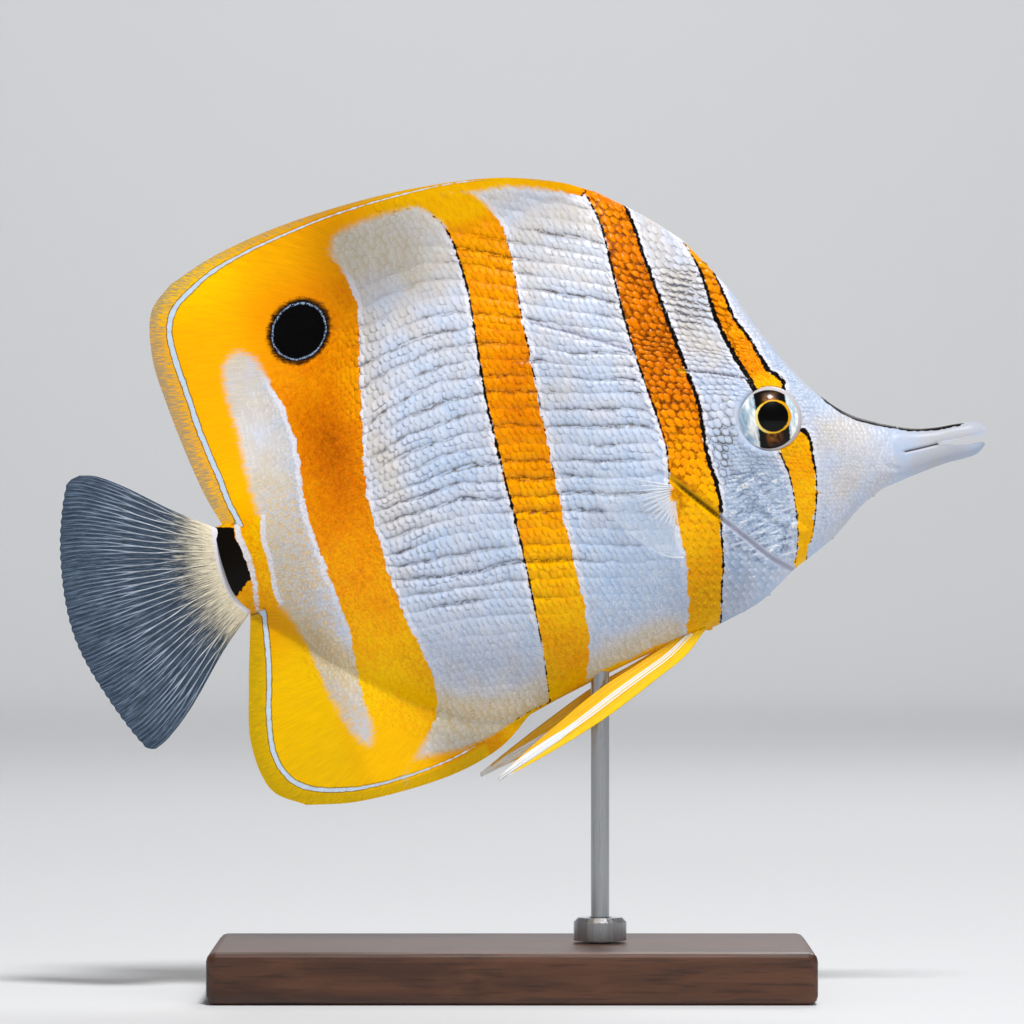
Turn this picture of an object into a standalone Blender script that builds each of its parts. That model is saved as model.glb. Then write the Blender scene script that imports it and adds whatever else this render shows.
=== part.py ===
"""Copperband butterflyfish, life size, held over a flat display base by one rod.

The fish is drawn in its own frame, in millimetres: `back` is the distance behind the snout tip
and `up` is the height above a level line through the tip. The finished fish is pitched nose up.
"""

import math

import bmesh
import bpy
import numpy as np

MM = 0.001
GAP = 0.4  # left between two neighbouring pieces
CUT_BEYOND = 4.0  # how far a cutter reaches past the face it opens
SHARP_ANGLE = math.radians(50.0)
SIDES = {"right": -1.0, "left": 1.0}

# Place of the fish over the stand
NOSE_UP = math.radians(15.0)
SNOUT_TIP = (82.2, 0.0, 97.0)

# Side view outline, as (back, up) keys that a smooth curve runs through
SNOUT_ROOT_TOP = (17.0, 6.8)
SNOUT_ROOT_BOTTOM = (19.5, -4.2)
NAPE = (42.0, 46.5)
THROAT = (38.3, -13.9)
FIRST_SPINE = (54.0, 58.2)
VENT = (89.0, -26.3)
STEM_TOP = (133.5, 19.3)
STEM_BOTTOM = (131.2, 3.5)
STEM_FRONT = 128.0

SNOUT_TOP = [(-0.5, 1.6), (0.6, 2.6), (4.0, 3.3), (8.0, 3.7), (12.0, 4.6), SNOUT_ROOT_TOP]
SNOUT_BOTTOM = [(0.5, -1.5), (2.2, -2.6), (8.0, -2.8), (13.0, -3.3), SNOUT_ROOT_BOTTOM]
FOREHEAD = [SNOUT_ROOT_TOP, (22.0, 9.9), (26.0, 14.3), (30.0, 20.8), (33.0, 27.5), (36.0, 35.4), NAPE]
NAPE_LINE = [NAPE, (47.0, 51.9), FIRST_SPINE]
CHIN = [SNOUT_ROOT_BOTTOM, (24.0, -6.2), (30.0, -10.2), THROAT]
BELLY = [THROAT, (45.0, -17.6), (51.0, -19.2), (57.0, -20.3), (66.0, -21.4), (82.0, -24.6), VENT]
DORSAL_EDGE = [FIRST_SPINE, (60.0, 61.7), (70.0, 65.2), (82.0, 67.0), (95.0, 67.6), (110.0, 66.8),
               (122.0, 64.7), (130.0, 62.0)]
DORSAL_REAR = [STEM_TOP, (134.0, 26.2), (135.9, 42.0), (136.2, 51.0), (134.2, 58.5), (130.0, 62.0)]
ANAL_EDGE = [VENT, (94.0, -29.8), (100.0, -32.0), (108.0, -33.2), (122.0, -33.1), (130.5, -31.4)]
ANAL_REAR = [STEM_BOTTOM, (132.6, -1.3), (134.7, -8.5), (137.0, -18.8), (135.6, -27.4), (130.5, -31.4)]
BACK_LINE = [FIRST_SPINE, (64.0, 58.6), (76.0, 58.0), (90.0, 54.5), (104.0, 47.0), (116.0, 36.5),
             (128.0, 24.0), STEM_TOP]
ANAL_LINE = [VENT, (97.0, -25.0), (106.0, -20.5), (117.0, -11.5), (128.0, 0.5), STEM_BOTTOM]
TAIL_ROOT = [STEM_BOTTOM, (133.1, 7.4), (133.7, 13.0), STEM_TOP]
TAIL_TOP = [STEM_TOP, (140.0, 24.3), (147.0, 30.4), (151.2, 33.3), (153.8, 34.1)]
TAIL_BOTTOM = [STEM_BOTTOM, (137.0, -1.4), (146.0, -10.4), (151.0, -14.2), (153.2, -15.2)]
TAIL_REAR = [(153.2, -15.2), (155.2, -13.8), (158.4, -6.2), (161.5, 4.5), (161.9, 12.0), (160.2, 23.0),
             (157.2, 31.4), (153.8, 34.1)]
GILL_SLIT = [THROAT, (42.6, -9.6), (47.8, -3.2), (52.2, 3.4), (53.0, 11.5), (49.0, 22.0), NAPE]
CHEEK_EDGE = [(40.2, -8.0), (41.3, 1.0), (43.0, 9.0), (46.2, 18.0)]

# Where the fin spines give way to soft rays, at the fin's base and at its edge
FIN_START = 0.6
DORSAL_SPINES_END = (84.0, 92.0)
ANAL_SPINES_END = (100.0, 113.0)

# Mouth
GAPE_LINE = [(0.0, -0.35), (4.0, 0.0), (8.4, 0.8), (18.4, 1.0)]
GAPE_OPENING = 1.3
GAPE_CORNER = 8.4

# Half width of the flesh along the fish, and the height where it is widest, as (back, mm) keys
HALF_WIDTHS = [(-0.5, 0.7), (2.0, 1.5), (8.0, 2.1), (14.0, 2.7), (20.0, 3.7), (26.0, 5.2), (32.0, 6.9),
               (38.0, 8.3), (46.0, 9.8), (56.0, 10.9), (66.0, 11.3), (78.0, 10.7), (94.0, 9.0),
               (108.0, 6.9), (120.0, 4.8), (128.0, 3.4), (134.0, 2.6)]
WIDEST_HEIGHTS = [(-0.5, 0.2), (16.0, 1.0), (26.0, 4.5), (36.0, 9.5), (50.0, 11.5), (70.0, 13.0),
                  (95.0, 13.5), (120.0, 12.0), (134.0, 11.4)]
FULLNESS_ABOVE = 0.72  # the power of the section's curve: 0.5 is an ellipse, 1 is a sharp lens
FULLNESS_BELOW = 0.6
FULLNESS_SNOUT = 0.5
SNOUT_SECTIONS_END = 14.0  # behind here the sections change from the snout's shape to the body's
BODY_SECTIONS_RUN = 30.0
FIN_EDGE = 0.3  # half thickness of a fin at its edge
FIN_THICKENING = 0.045  # half thickness gained for each mm in from the edge
BLEND_POWER = 3.0
EVEN_SHARE = 0.4  # how evenly the rows of a rounded piece are spaced, from its rim to its middle

# Eyes
EYE_CENTRE = (35.9, 12.5)
EYE_RADIUS = 5.8
EYE_DEPTH = 3.2
EYE_OFFSET = 6.9
ORBIT_RISE = 0.7
ORBIT_SPREAD = 8.0

GILL_COVER_INSIDE = 6.0
TAIL_ROOT_THICKNESS = 1.8

# Paired fins
PELVIC_LOWER = [(56.6, -20.9), (66.0, -25.6), (76.0, -29.9), (86.0, -32.8), (97.0, -35.3)]
PELVIC_UPPER = [(58.6, -20.9), (68.0, -23.6), (80.0, -27.0), (90.0, -31.2), (96.6, -34.4)]
PELVIC_TRAIL = {"right": (0.0, 0.0), "left": (3.0, 1.1)}  # shift of each tip, as (back, up)
PELVIC_ROOT_OFFSET = 1.5
PELVIC_SPLAY = 3.6
PELVIC_THICKNESS = 0.9
PECTORAL_ROOT = [(55.9, 2.2), (55.4, 4.0), (55.8, 5.8)]
PECTORAL_REACH = [(56.4, -6.8), (59.4, -5.8), (62.6, -2.8), (66.4, 2.6), (68.3, 8.4), (67.4, 12.1)]
PECTORAL_STANDOFF = 0.6
PECTORAL_SLOPE = 0.22
PECTORAL_THICKNESS = 0.6

# Stand
BASE_SIZE = (104.0, 56.0, 9.0)
BASE_BEVEL = 1.6
ROD_RADIUS = 1.6
ROD_X = 15.3
ROD_TOP = 62.0
ROD_FOOT = 4.0
COLLAR_RADIUS = 4.6
COLLAR_HEIGHT = 4.0
COLLAR_CHAMFER = 0.8
ROUND_SEGMENTS = 24

# Colours of the solids, as linear red, green and blue
SNOUT_PALE = (0.72, 0.72, 0.76)
HEAD_PALE = (0.78, 0.76, 0.74)
GILL_PALE = (0.75, 0.76, 0.8)
TRUNK_PALE = (0.76, 0.76, 0.78)
STEM_ORANGE = (0.75, 0.4, 0.05)
FIN_ORANGE = (0.85, 0.52, 0.02)
FIN_YELLOW = (0.9, 0.68, 0.05)
TAIL_SLATE = (0.18, 0.22, 0.28)
CLEAR_FIN_GREY = (0.7, 0.75, 0.8)
EYE_DARK = (0.05, 0.045, 0.04)
WALNUT = (0.06, 0.03, 0.015)
STEEL = (0.6, 0.6, 0.62)
FLESH_ROUGHNESS = 0.4
FIN_ROUGHNESS = 0.35
EYE_ROUGHNESS = 0.08
WOOD_ROUGHNESS = 0.4
STEEL_ROUGHNESS = 0.28


def smooth_curve(keys, samples=240):
    """Evenly spaced points of the smooth curve that passes through the keys."""
    keys = np.array(keys, float)
    ends = np.vstack([2 * keys[0] - keys[1], keys, 2 * keys[-1] - keys[-2]])
    knots = np.concatenate([[0.0], np.cumsum(np.sqrt(np.linalg.norm(np.diff(ends, axis=0), axis=1)))])
    t = np.linspace(knots[1], knots[-2], samples * 4)
    span = np.clip(np.searchsorted(knots, t, side="right") - 1, 1, len(knots) - 3)
    k0, k1, k2, k3 = (knots[span + step][:, None] for step in (-1, 0, 1, 2))
    p0, p1, p2, p3 = (ends[span + step] for step in (-1, 0, 1, 2))
    t = t[:, None]
    a1 = ((k1 - t) * p0 + (t - k0) * p1) / (k1 - k0)
    a2 = ((k2 - t) * p1 + (t - k1) * p2) / (k2 - k1)
    a3 = ((k3 - t) * p2 + (t - k2) * p3) / (k3 - k2)
    b1 = ((k2 - t) * a1 + (t - k0) * a2) / (k2 - k0)
    b2 = ((k3 - t) * a2 + (t - k1) * a3) / (k3 - k1)
    points = ((k2 - t) * b1 + (t - k1) * b2) / (k2 - k1)
    return evenly(points, samples)


def evenly(points, samples=240):
    """The same line with its points evenly spaced."""
    along = np.concatenate([[0.0], np.cumsum(np.linalg.norm(np.diff(points, axis=0), axis=1))])
    wanted = np.linspace(0.0, along[-1], samples)
    return np.column_stack([np.interp(wanted, along, points[:, axis]) for axis in range(points.shape[1])])


def part_of(points, low, high):
    """The stretch of a line between two distances behind the snout."""
    inside = points[(points[:, 0] > low) & (points[:, 0] < high)]
    ends = [[back, np.interp(back, points[:, 0], points[:, 1])] for back in (low, high)]
    return evenly(np.vstack([ends[:1], inside, ends[1:]]))


def joined(*lines):
    return evenly(np.vstack(lines))


def line_between(start, end):
    return evenly(np.array([start, end], float))


SNOUT_TOP_LINE = smooth_curve(SNOUT_TOP)
SNOUT_BOTTOM_LINE = smooth_curve(SNOUT_BOTTOM)
HEAD_TOP_LINE = smooth_curve(FOREHEAD)
NAPE_TOP_LINE = smooth_curve(NAPE_LINE)
HEAD_BOTTOM_LINE = smooth_curve(CHIN)
BELLY_LINE = smooth_curve(BELLY)
BACK = smooth_curve(BACK_LINE)
ANAL_BASE = smooth_curve(ANAL_LINE)
DORSAL_MARGIN = smooth_curve(DORSAL_EDGE)
ANAL_MARGIN = smooth_curve(ANAL_EDGE)
GILL_LINE = smooth_curve(GILL_SLIT)
FLESH_TOP = joined(SNOUT_TOP_LINE, HEAD_TOP_LINE, NAPE_TOP_LINE, BACK)
FLESH_BOTTOM = joined(SNOUT_BOTTOM_LINE, HEAD_BOTTOM_LINE, BELLY_LINE, ANAL_BASE)
OUTLINE = joined(SNOUT_TOP_LINE, HEAD_TOP_LINE, NAPE_TOP_LINE, DORSAL_MARGIN,
                 smooth_curve(DORSAL_REAR)[::-1], smooth_curve(ANAL_REAR), ANAL_MARGIN[::-1],
                 BELLY_LINE[::-1], HEAD_BOTTOM_LINE[::-1], SNOUT_BOTTOM_LINE[::-1])
HALF_WIDTH_LINE = smooth_curve(HALF_WIDTHS)
WIDEST_LINE = smooth_curve(WIDEST_HEIGHTS)


def value_at(line, back):
    return np.interp(back, line[:, 0], line[:, 1])


def edge_distance(back, up):
    """Distance of each point from the outline of the body and its fins."""
    points = np.column_stack([np.ravel(back), np.ravel(up)])
    starts = OUTLINE[:-1]
    steps = np.diff(OUTLINE, axis=0)
    offsets = points[:, None, :] - starts[None, :, :]
    along = np.clip((offsets * steps).sum(axis=2) / (steps * steps).sum(axis=1), 0.0, 1.0)
    nearest = np.linalg.norm(offsets - along[:, :, None] * steps[None, :, :], axis=2)
    return nearest.min(axis=1).reshape(np.shape(back))


def body_half_width(back, up):
    """Half the thickness of the fish at a point of its side view."""
    top = value_at(FLESH_TOP, back)
    bottom = value_at(FLESH_BOTTOM, back)
    widest = value_at(WIDEST_LINE, back)
    above = up > widest
    reach = np.where(above, top - widest, widest - bottom)
    fraction = np.clip(np.abs(up - widest) / np.maximum(reach, 0.1), 0.0, 1.0)
    trunk_like = np.clip((back - SNOUT_SECTIONS_END) / BODY_SECTIONS_RUN, 0.0, 1.0)
    fullness = np.where(above, FULLNESS_ABOVE, FULLNESS_BELOW)
    fullness = FULLNESS_SNOUT + (fullness - FULLNESS_SNOUT) * trunk_like
    flesh = value_at(HALF_WIDTH_LINE, back) * (1.0 - fraction**2) ** fullness
    from_eye = np.hypot(back - EYE_CENTRE[0], up - EYE_CENTRE[1])
    flesh = flesh + ORBIT_RISE * np.exp(-((from_eye / ORBIT_SPREAD) ** 4))
    sheet = FIN_EDGE + FIN_THICKENING * edge_distance(back, up)
    return (flesh**BLEND_POWER + sheet**BLEND_POWER) ** (1.0 / BLEND_POWER)


def four_sided(bottom, top, front, rear):
    """A patch of the side view between four lines, read at u along it and v up it."""

    def at(line, t):
        place = np.linspace(0.0, 1.0, len(line))
        return np.stack([np.interp(t, place, line[:, axis]) for axis in range(2)], axis=-1)

    def patch(u, v):
        u1, v1 = u[..., None], v[..., None]
        across = (1 - v1) * at(bottom, u) + v1 * at(top, u)
        upward = (1 - u1) * at(front, v) + u1 * at(rear, v)
        corners = ((1 - u1) * (1 - v1) * bottom[0] + u1 * (1 - v1) * bottom[-1]
                   + (1 - u1) * v1 * top[0] + u1 * v1 * top[-1])
        return across + upward - corners

    return patch


def inset_patch(patch, u, v, sides):
    """Patch points, drawn in by half the gap at each named side."""
    length = np.linalg.norm(patch(np.ones_like(v), v) - patch(np.zeros_like(v), v), axis=-1)
    height = np.linalg.norm(patch(u, np.ones_like(u)) - patch(u, np.zeros_like(u)), axis=-1)
    part = 0.5 * GAP
    low_u = part / length * ("front" in sides)
    high_u = 1.0 - part / length * ("rear" in sides)
    low_v = part / height * ("bottom" in sides)
    high_v = 1.0 - part / height * ("top" in sides)
    return patch(low_u + (high_u - low_u) * u, low_v + (high_v - low_v) * v)


def unit_grid(columns, rows, eased):
    """A flat grid with its u and v from 0 to 1; eased rows gather towards both edges."""
    mesh = bmesh.new()
    bmesh.ops.create_grid(mesh, x_segments=columns, y_segments=rows, size=0.5)
    places = np.array([vert.co[:2] for vert in mesh.verts]) + 0.5
    u = places[:, 0]
    v = places[:, 1]
    if eased:
        v = EVEN_SHARE * v + (1.0 - EVEN_SHARE) * (0.5 - 0.5 * np.cos(np.pi * v))
    return mesh, u, v


def move_grid(mesh, points, across):
    """Place the grid: points are (back, up), across is the sideways place."""
    for vert, (back, up), side in zip(mesh.verts, points, across):
        vert.co = (-back * MM, side * MM, up * MM)


def new_object(name, mesh_data, colour, roughness, metallic, parent):
    """A named object with its own finish, in the fish's collection."""
    made = bpy.data.meshes.new(name)
    mesh_data.to_mesh(made)
    mesh_data.free()
    piece = bpy.data.objects.new(name, made)
    piece.parent = parent
    made.materials.append(finish(name, colour, roughness, metallic))
    made.shade_smooth()
    made.set_sharp_from_angle(angle=SHARP_ANGLE)
    fish_parts.objects.link(piece)
    return piece


def finish(name, colour, roughness, metallic):
    material = bpy.data.materials.new(name + "_finish")
    material.use_nodes = True
    shader = material.node_tree.nodes["Principled BSDF"]
    shader.inputs["Base Color"].default_value = (*colour, 1.0)
    shader.inputs["Roughness"].default_value = roughness
    shader.inputs["Metallic"].default_value = metallic
    return material


def whole_piece(name, patch, columns, rows, sides, colour, half_width=None, eased=False):
    """A piece that spans the fish from side to side, mirrored on its middle plane."""
    mesh, u, v = unit_grid(columns, rows, eased)
    points = inset_patch(patch, u, v, sides)
    if half_width is None:
        widths = body_half_width(points[:, 0], points[:, 1])
    else:
        widths = half_width(u, v)
    move_grid(mesh, points, -widths)
    bmesh.ops.reverse_faces(mesh, faces=mesh.faces)
    rim = [edge for edge in mesh.edges if edge.is_boundary]
    walls = bmesh.ops.extrude_edge_only(mesh, edges=rim)["geom"]
    for vert in walls:
        if isinstance(vert, bmesh.types.BMVert):
            vert.co.y = 0.0
    piece = new_object(name, mesh, colour, FLESH_ROUGHNESS, 0.0, fish_frame)
    mirror = piece.modifiers.new("other_side", "MIRROR")
    mirror.use_axis = (False, True, False)
    mirror.merge_threshold = 0.0001
    return piece


def plate_mesh(patch, columns, rows, sides, inside, side, beyond=0.0):
    """A plate on one flank, from a flat inner face out to the body's surface or some way beyond it."""
    mesh, u, v = unit_grid(columns, rows, eased=False)
    points = inset_patch(patch, u, v, sides)
    widths = body_half_width(points[:, 0], points[:, 1]) + beyond
    move_grid(mesh, points, side * widths)
    rim = [edge for edge in mesh.edges if edge.is_boundary]
    walls = bmesh.ops.extrude_edge_only(mesh, edges=rim)["geom"]
    for vert in walls:
        if isinstance(vert, bmesh.types.BMVert):
            vert.co.y = side * inside * MM
    bmesh.ops.holes_fill(mesh, edges=mesh.edges, sides=0)
    bmesh.ops.recalc_face_normals(mesh, faces=mesh.faces)
    return mesh


def sheet_piece(name, patch, columns, rows, across, thickness, colour):
    """A fin that is one sheet, given its thickness on both faces."""
    mesh, u, v = unit_grid(columns, rows, eased=False)
    points = patch(u, v)
    move_grid(mesh, points, across(points, u, v))
    piece = new_object(name, mesh, colour, FIN_ROUGHNESS, 0.0, fish_frame)
    shell = piece.modifiers.new("thickness", "SOLIDIFY")
    shell.thickness = thickness * MM
    shell.offset = 0.0
    return piece


def cutter_from(name, mesh):
    """A hidden object that only cuts others."""
    made = bpy.data.meshes.new(name)
    mesh.to_mesh(made)
    mesh.free()
    cutter = bpy.data.objects.new(name, made)
    cutter.parent = fish_frame
    cutter.hide_render = True
    cutter.display_type = "WIRE"
    cutter_parts.objects.link(cutter)
    return cutter


def cut(piece, cutter):
    boolean = piece.modifiers.new("cut_" + cutter.name, "BOOLEAN")
    boolean.operation = "DIFFERENCE"
    boolean.object = cutter


def eyeball(extra):
    """A flattened globe about the origin, with its axis across the fish."""
    mesh = bmesh.new()
    bmesh.ops.create_uvsphere(mesh, u_segments=18, v_segments=8, radius=1.0)
    radius = EYE_RADIUS + extra
    depth = EYE_DEPTH + extra
    for vert in mesh.verts:
        vert.co = (vert.co.x * radius * MM, vert.co.z * depth * MM, -vert.co.y * radius * MM)
    return mesh


def gape_edge(direction):
    """The edge of one jaw along the mouth: 1 is the upper jaw, -1 the lower."""
    middle = smooth_curve(GAPE_LINE)
    opening = np.interp(middle[:, 0], [0.0, GAPE_CORNER], [GAPE_OPENING, GAP])
    middle[:, 1] += 0.5 * direction * opening
    return middle


def make_jaws():
    upper_edge = gape_edge(1.0)
    root_top = line_between(upper_edge[-1], SNOUT_ROOT_TOP)
    tip = line_between(upper_edge[0], SNOUT_TOP_LINE[0])
    patch = four_sided(upper_edge, SNOUT_TOP_LINE, tip, root_top)
    whole_piece("upper_jaw", patch, 12, 6, ("rear",), SNOUT_PALE, eased=True)
    lower_edge = gape_edge(-1.0)
    lower_edge = part_of(lower_edge, SNOUT_BOTTOM_LINE[0][0], lower_edge[-1][0])
    root_bottom = line_between(SNOUT_ROOT_BOTTOM, lower_edge[-1])
    chin_tip = line_between(SNOUT_BOTTOM_LINE[0], lower_edge[0])
    patch = four_sided(SNOUT_BOTTOM_LINE, lower_edge, chin_tip, root_bottom)
    whole_piece("lower_jaw", patch, 12, 6, ("rear",), SNOUT_PALE, eased=True)


def make_head():
    front = line_between(SNOUT_ROOT_BOTTOM, SNOUT_ROOT_TOP)
    patch = four_sided(HEAD_BOTTOM_LINE, HEAD_TOP_LINE, front, GILL_LINE)
    head = whole_piece("head", patch, 15, 18, ("front", "rear"), HEAD_PALE, eased=True)
    cheek = smooth_curve(CHEEK_EDGE)
    low, high = CHEEK_EDGE[0][1], CHEEK_EDGE[-1][1]
    slit = GILL_LINE[(GILL_LINE[:, 1] > low) & (GILL_LINE[:, 1] < high)]
    slit = evenly(slit - (0.5 * GAP, 0.0))
    cover = four_sided(line_between(cheek[0], slit[0]), line_between(cheek[-1], slit[-1]), cheek, slit)
    behind = slit + (CUT_BEYOND, 0.0)
    pocket = four_sided(line_between(cheek[0], behind[0]), line_between(cheek[-1], behind[-1]), cheek, behind)
    for side_name, side in SIDES.items():
        plate = plate_mesh(cover, 6, 10, ("front", "rear", "bottom", "top"), GILL_COVER_INSIDE, side)
        new_object("gill_cover_" + side_name, plate, GILL_PALE, FLESH_ROUGHNESS, 0.0, fish_frame)
        hollow = plate_mesh(pocket, 8, 10, (), GILL_COVER_INSIDE - 0.5 * GAP, side, beyond=CUT_BEYOND)
        cut(head, cutter_from("gill_pocket_" + side_name, hollow))
        socket = cutter_from("eye_socket_" + side_name, eyeball(GAP))
        socket.location = (-EYE_CENTRE[0] * MM, side * EYE_OFFSET * MM, EYE_CENTRE[1] * MM)
        cut(head, socket)


def make_eyes():
    for side_name, side in SIDES.items():
        eye = new_object("eye_" + side_name, eyeball(0.0), EYE_DARK, EYE_ROUGHNESS, 0.0, fish_frame)
        eye.location = (-EYE_CENTRE[0] * MM, side * EYE_OFFSET * MM, EYE_CENTRE[1] * MM)


def make_trunk():
    top = joined(NAPE_TOP_LINE, part_of(BACK, FIRST_SPINE[0] + 0.01, STEM_FRONT))
    bottom = joined(BELLY_LINE, part_of(ANAL_BASE, VENT[0] + 0.01, STEM_FRONT))
    rear = line_between(bottom[-1], top[-1])
    patch = four_sided(bottom, top, GILL_LINE, rear)
    trunk = whole_piece("trunk", patch, 24, 18, ("front", "rear", "bottom", "top"), TRUNK_PALE, eased=True)
    bore = bmesh.new()
    bmesh.ops.create_cone(bore, cap_ends=True, segments=ROUND_SEGMENTS, radius1=(ROD_RADIUS + GAP) * MM,
                          radius2=(ROD_RADIUS + GAP) * MM, depth=(ROD_TOP + GAP) * MM)
    bmesh.ops.translate(bore, verts=bore.verts, vec=(ROD_X * MM, 0.0, 0.5 * (ROD_TOP + GAP) * MM))
    rod_hole = cutter_from("rod_hole", bore)
    rod_hole.parent = None
    cut(trunk, rod_hole)


def make_tail():
    top = part_of(BACK, STEM_FRONT, STEM_TOP[0])
    bottom = part_of(ANAL_BASE, STEM_FRONT, STEM_BOTTOM[0])
    front = line_between(bottom[0], top[0])
    rear = smooth_curve(TAIL_ROOT)
    stem = four_sided(bottom, top, front, rear)
    whole_piece("tail_stem", stem, 3, 10, ("front", "rear", "bottom", "top"), STEM_ORANGE, eased=True)

    def fan_half_width(u, v):
        round_root = np.sqrt(np.clip(1.0 - (2.0 * v - 1.0) ** 2, 0.0, 1.0))
        return FIN_EDGE + TAIL_ROOT_THICKNESS * (1.0 - u) ** 2 * round_root

    fan = four_sided(smooth_curve(TAIL_BOTTOM), smooth_curve(TAIL_TOP), rear, smooth_curve(TAIL_REAR))
    whole_piece("tail_fin", fan, 10, 12, ("front",), TAIL_SLATE, half_width=fan_half_width)


def make_median_fin(name, base, edge, rear, base_split, edge_split, above):
    """A fin on the middle line, as its spiny front and its soft rear."""
    start = base[0][0] + FIN_START
    base_front = part_of(base, start, base_split)
    edge_front = part_of(edge, start, edge_split)
    base_rear = part_of(base, base_split, base[-1][0])
    edge_rear = part_of(edge, edge_split, edge[-1][0])
    front = line_between(base_front[0], edge_front[0])
    split = line_between(base_front[-1], edge_front[-1])
    rays = (base_rear, edge_rear, split, rear)
    spines = (base_front, edge_front, front, split)
    near = "bottom"
    if not above:
        rays = (edge_rear, base_rear, split[::-1], rear[::-1])
        spines = (edge_front, base_front, front[::-1], split[::-1])
        near = "top"
    whole_piece(name + "_spiny", four_sided(*spines), 14, 4, (near, "rear"), FIN_YELLOW)
    whole_piece(name + "_soft", four_sided(*rays), 14, 10, (near, "front"), FIN_ORANGE)


def make_median_fins():
    make_median_fin("dorsal_fin", BACK, DORSAL_MARGIN, smooth_curve(DORSAL_REAR), *DORSAL_SPINES_END,
                    above=True)
    make_median_fin("anal_fin", ANAL_BASE, ANAL_MARGIN, smooth_curve(ANAL_REAR), *ANAL_SPINES_END,
                    above=False)


def make_paired_fins():
    lower = smooth_curve(PELVIC_LOWER)
    upper = smooth_curve(PELVIC_UPPER)
    straight = four_sided(lower, upper, line_between(lower[0], upper[0]), line_between(lower[-1], upper[-1]))
    root = smooth_curve(PECTORAL_ROOT)
    reach = smooth_curve(PECTORAL_REACH)
    fan = four_sided(line_between(root[0], reach[0]), line_between(root[-1], reach[-1]), root, reach)
    for side_name, side in SIDES.items():

        def blade(u, v, trail=PELVIC_TRAIL[side_name]):
            return straight(u, v) + u[..., None] * trail

        def pelvic_place(points, u, v, side=side):
            return side * (PELVIC_ROOT_OFFSET + PELVIC_SPLAY * u)

        def pectoral_place(points, u, v, side=side):
            skin = body_half_width(points[:, 0], points[:, 1])
            run = np.hypot(points[:, 0] - PECTORAL_ROOT[1][0], points[:, 1] - PECTORAL_ROOT[1][1])
            return side * (skin + PECTORAL_STANDOFF + PECTORAL_SLOPE * run)

        sheet_piece("pelvic_fin_" + side_name, blade, 12, 3, pelvic_place, PELVIC_THICKNESS,
                    FIN_YELLOW)
        sheet_piece("pectoral_fin_" + side_name, fan, 8, 8, pectoral_place, PECTORAL_THICKNESS,
                    CLEAR_FIN_GREY)


def turned(name, profile, colour, roughness, metallic):
    """A turned piece: its profile of (radius, height) runs down its outer side."""
    mesh = bmesh.new()
    verts = [mesh.verts.new((radius * MM, 0.0, height * MM)) for radius, height in profile]
    for first, second in zip(verts, verts[1:] + verts[:1]):
        mesh.edges.new((first, second))
    piece = new_object(name, mesh, colour, roughness, metallic, None)
    screw = piece.modifiers.new("turn", "SCREW")
    screw.steps = ROUND_SEGMENTS
    screw.render_steps = ROUND_SEGMENTS
    screw.use_merge_vertices = True
    screw.merge_threshold = 0.00001
    return piece


def make_stand():
    length, depth, height = BASE_SIZE
    block = bmesh.new()
    bmesh.ops.create_cube(block, size=1.0)
    bmesh.ops.scale(block, verts=block.verts, vec=(length * MM, depth * MM, height * MM))
    base = new_object("stand_base", block, WALNUT, WOOD_ROUGHNESS, 0.0, None)
    base.location = (0.0, 0.0, 0.5 * height * MM)
    rounding = base.modifiers.new("rounded_edges", "BEVEL")
    rounding.width = BASE_BEVEL * MM
    rounding.segments = 3
    hole = bmesh.new()
    hole_top = height + CUT_BEYOND
    hole_depth = hole_top - ROD_FOOT + GAP
    bmesh.ops.create_cone(hole, cap_ends=True, segments=ROUND_SEGMENTS, radius1=(ROD_RADIUS + GAP) * MM,
                          radius2=(ROD_RADIUS + GAP) * MM, depth=hole_depth * MM)
    foot_hole = cutter_from("rod_foot_hole", hole)
    foot_hole.parent = None
    foot_hole.location = (ROD_X * MM, 0.0, (hole_top - 0.5 * hole_depth) * MM)
    cut(base, foot_hole)

    rod_mesh = bmesh.new()
    rod_length = ROD_TOP - ROD_FOOT
    bmesh.ops.create_cone(rod_mesh, cap_ends=True, segments=ROUND_SEGMENTS, radius1=ROD_RADIUS * MM,
                          radius2=ROD_RADIUS * MM, depth=rod_length * MM)
    rod = new_object("stand_rod", rod_mesh, STEEL, STEEL_ROUGHNESS, 1.0, None)
    rod.location = (ROD_X * MM, 0.0, (ROD_FOOT + 0.5 * rod_length) * MM)

    inner = ROD_RADIUS + GAP
    profile = [(inner, COLLAR_HEIGHT), (COLLAR_RADIUS - COLLAR_CHAMFER, COLLAR_HEIGHT),
               (COLLAR_RADIUS, COLLAR_HEIGHT - COLLAR_CHAMFER), (COLLAR_RADIUS, 0.0), (inner, 0.0)]
    collar = turned("stand_collar", profile, STEEL, STEEL_ROUGHNESS, 1.0)
    collar.location = (ROD_X * MM, 0.0, (height + GAP) * MM)


for old in list(bpy.data.objects):
    bpy.data.objects.remove(old, do_unlink=True)
fish_parts = bpy.data.collections.new("copperband_butterflyfish")
cutter_parts = bpy.data.collections.new("cutters")
bpy.context.scene.collection.children.link(fish_parts)
bpy.context.scene.collection.children.link(cutter_parts)
fish_frame = bpy.data.objects.new("fish_frame", None)
fish_frame.location = [value * MM for value in SNOUT_TIP]
fish_frame.rotation_euler = (0.0, -NOSE_UP, 0.0)
bpy.context.scene.collection.objects.link(fish_frame)

make_jaws()
make_head()
make_eyes()
make_trunk()
make_tail()
make_median_fins()
make_paired_fins()
make_stand()
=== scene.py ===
import math
from functools import partial

import bmesh
import bpy
import numpy as np
from mathutils import Matrix, Vector


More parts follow.
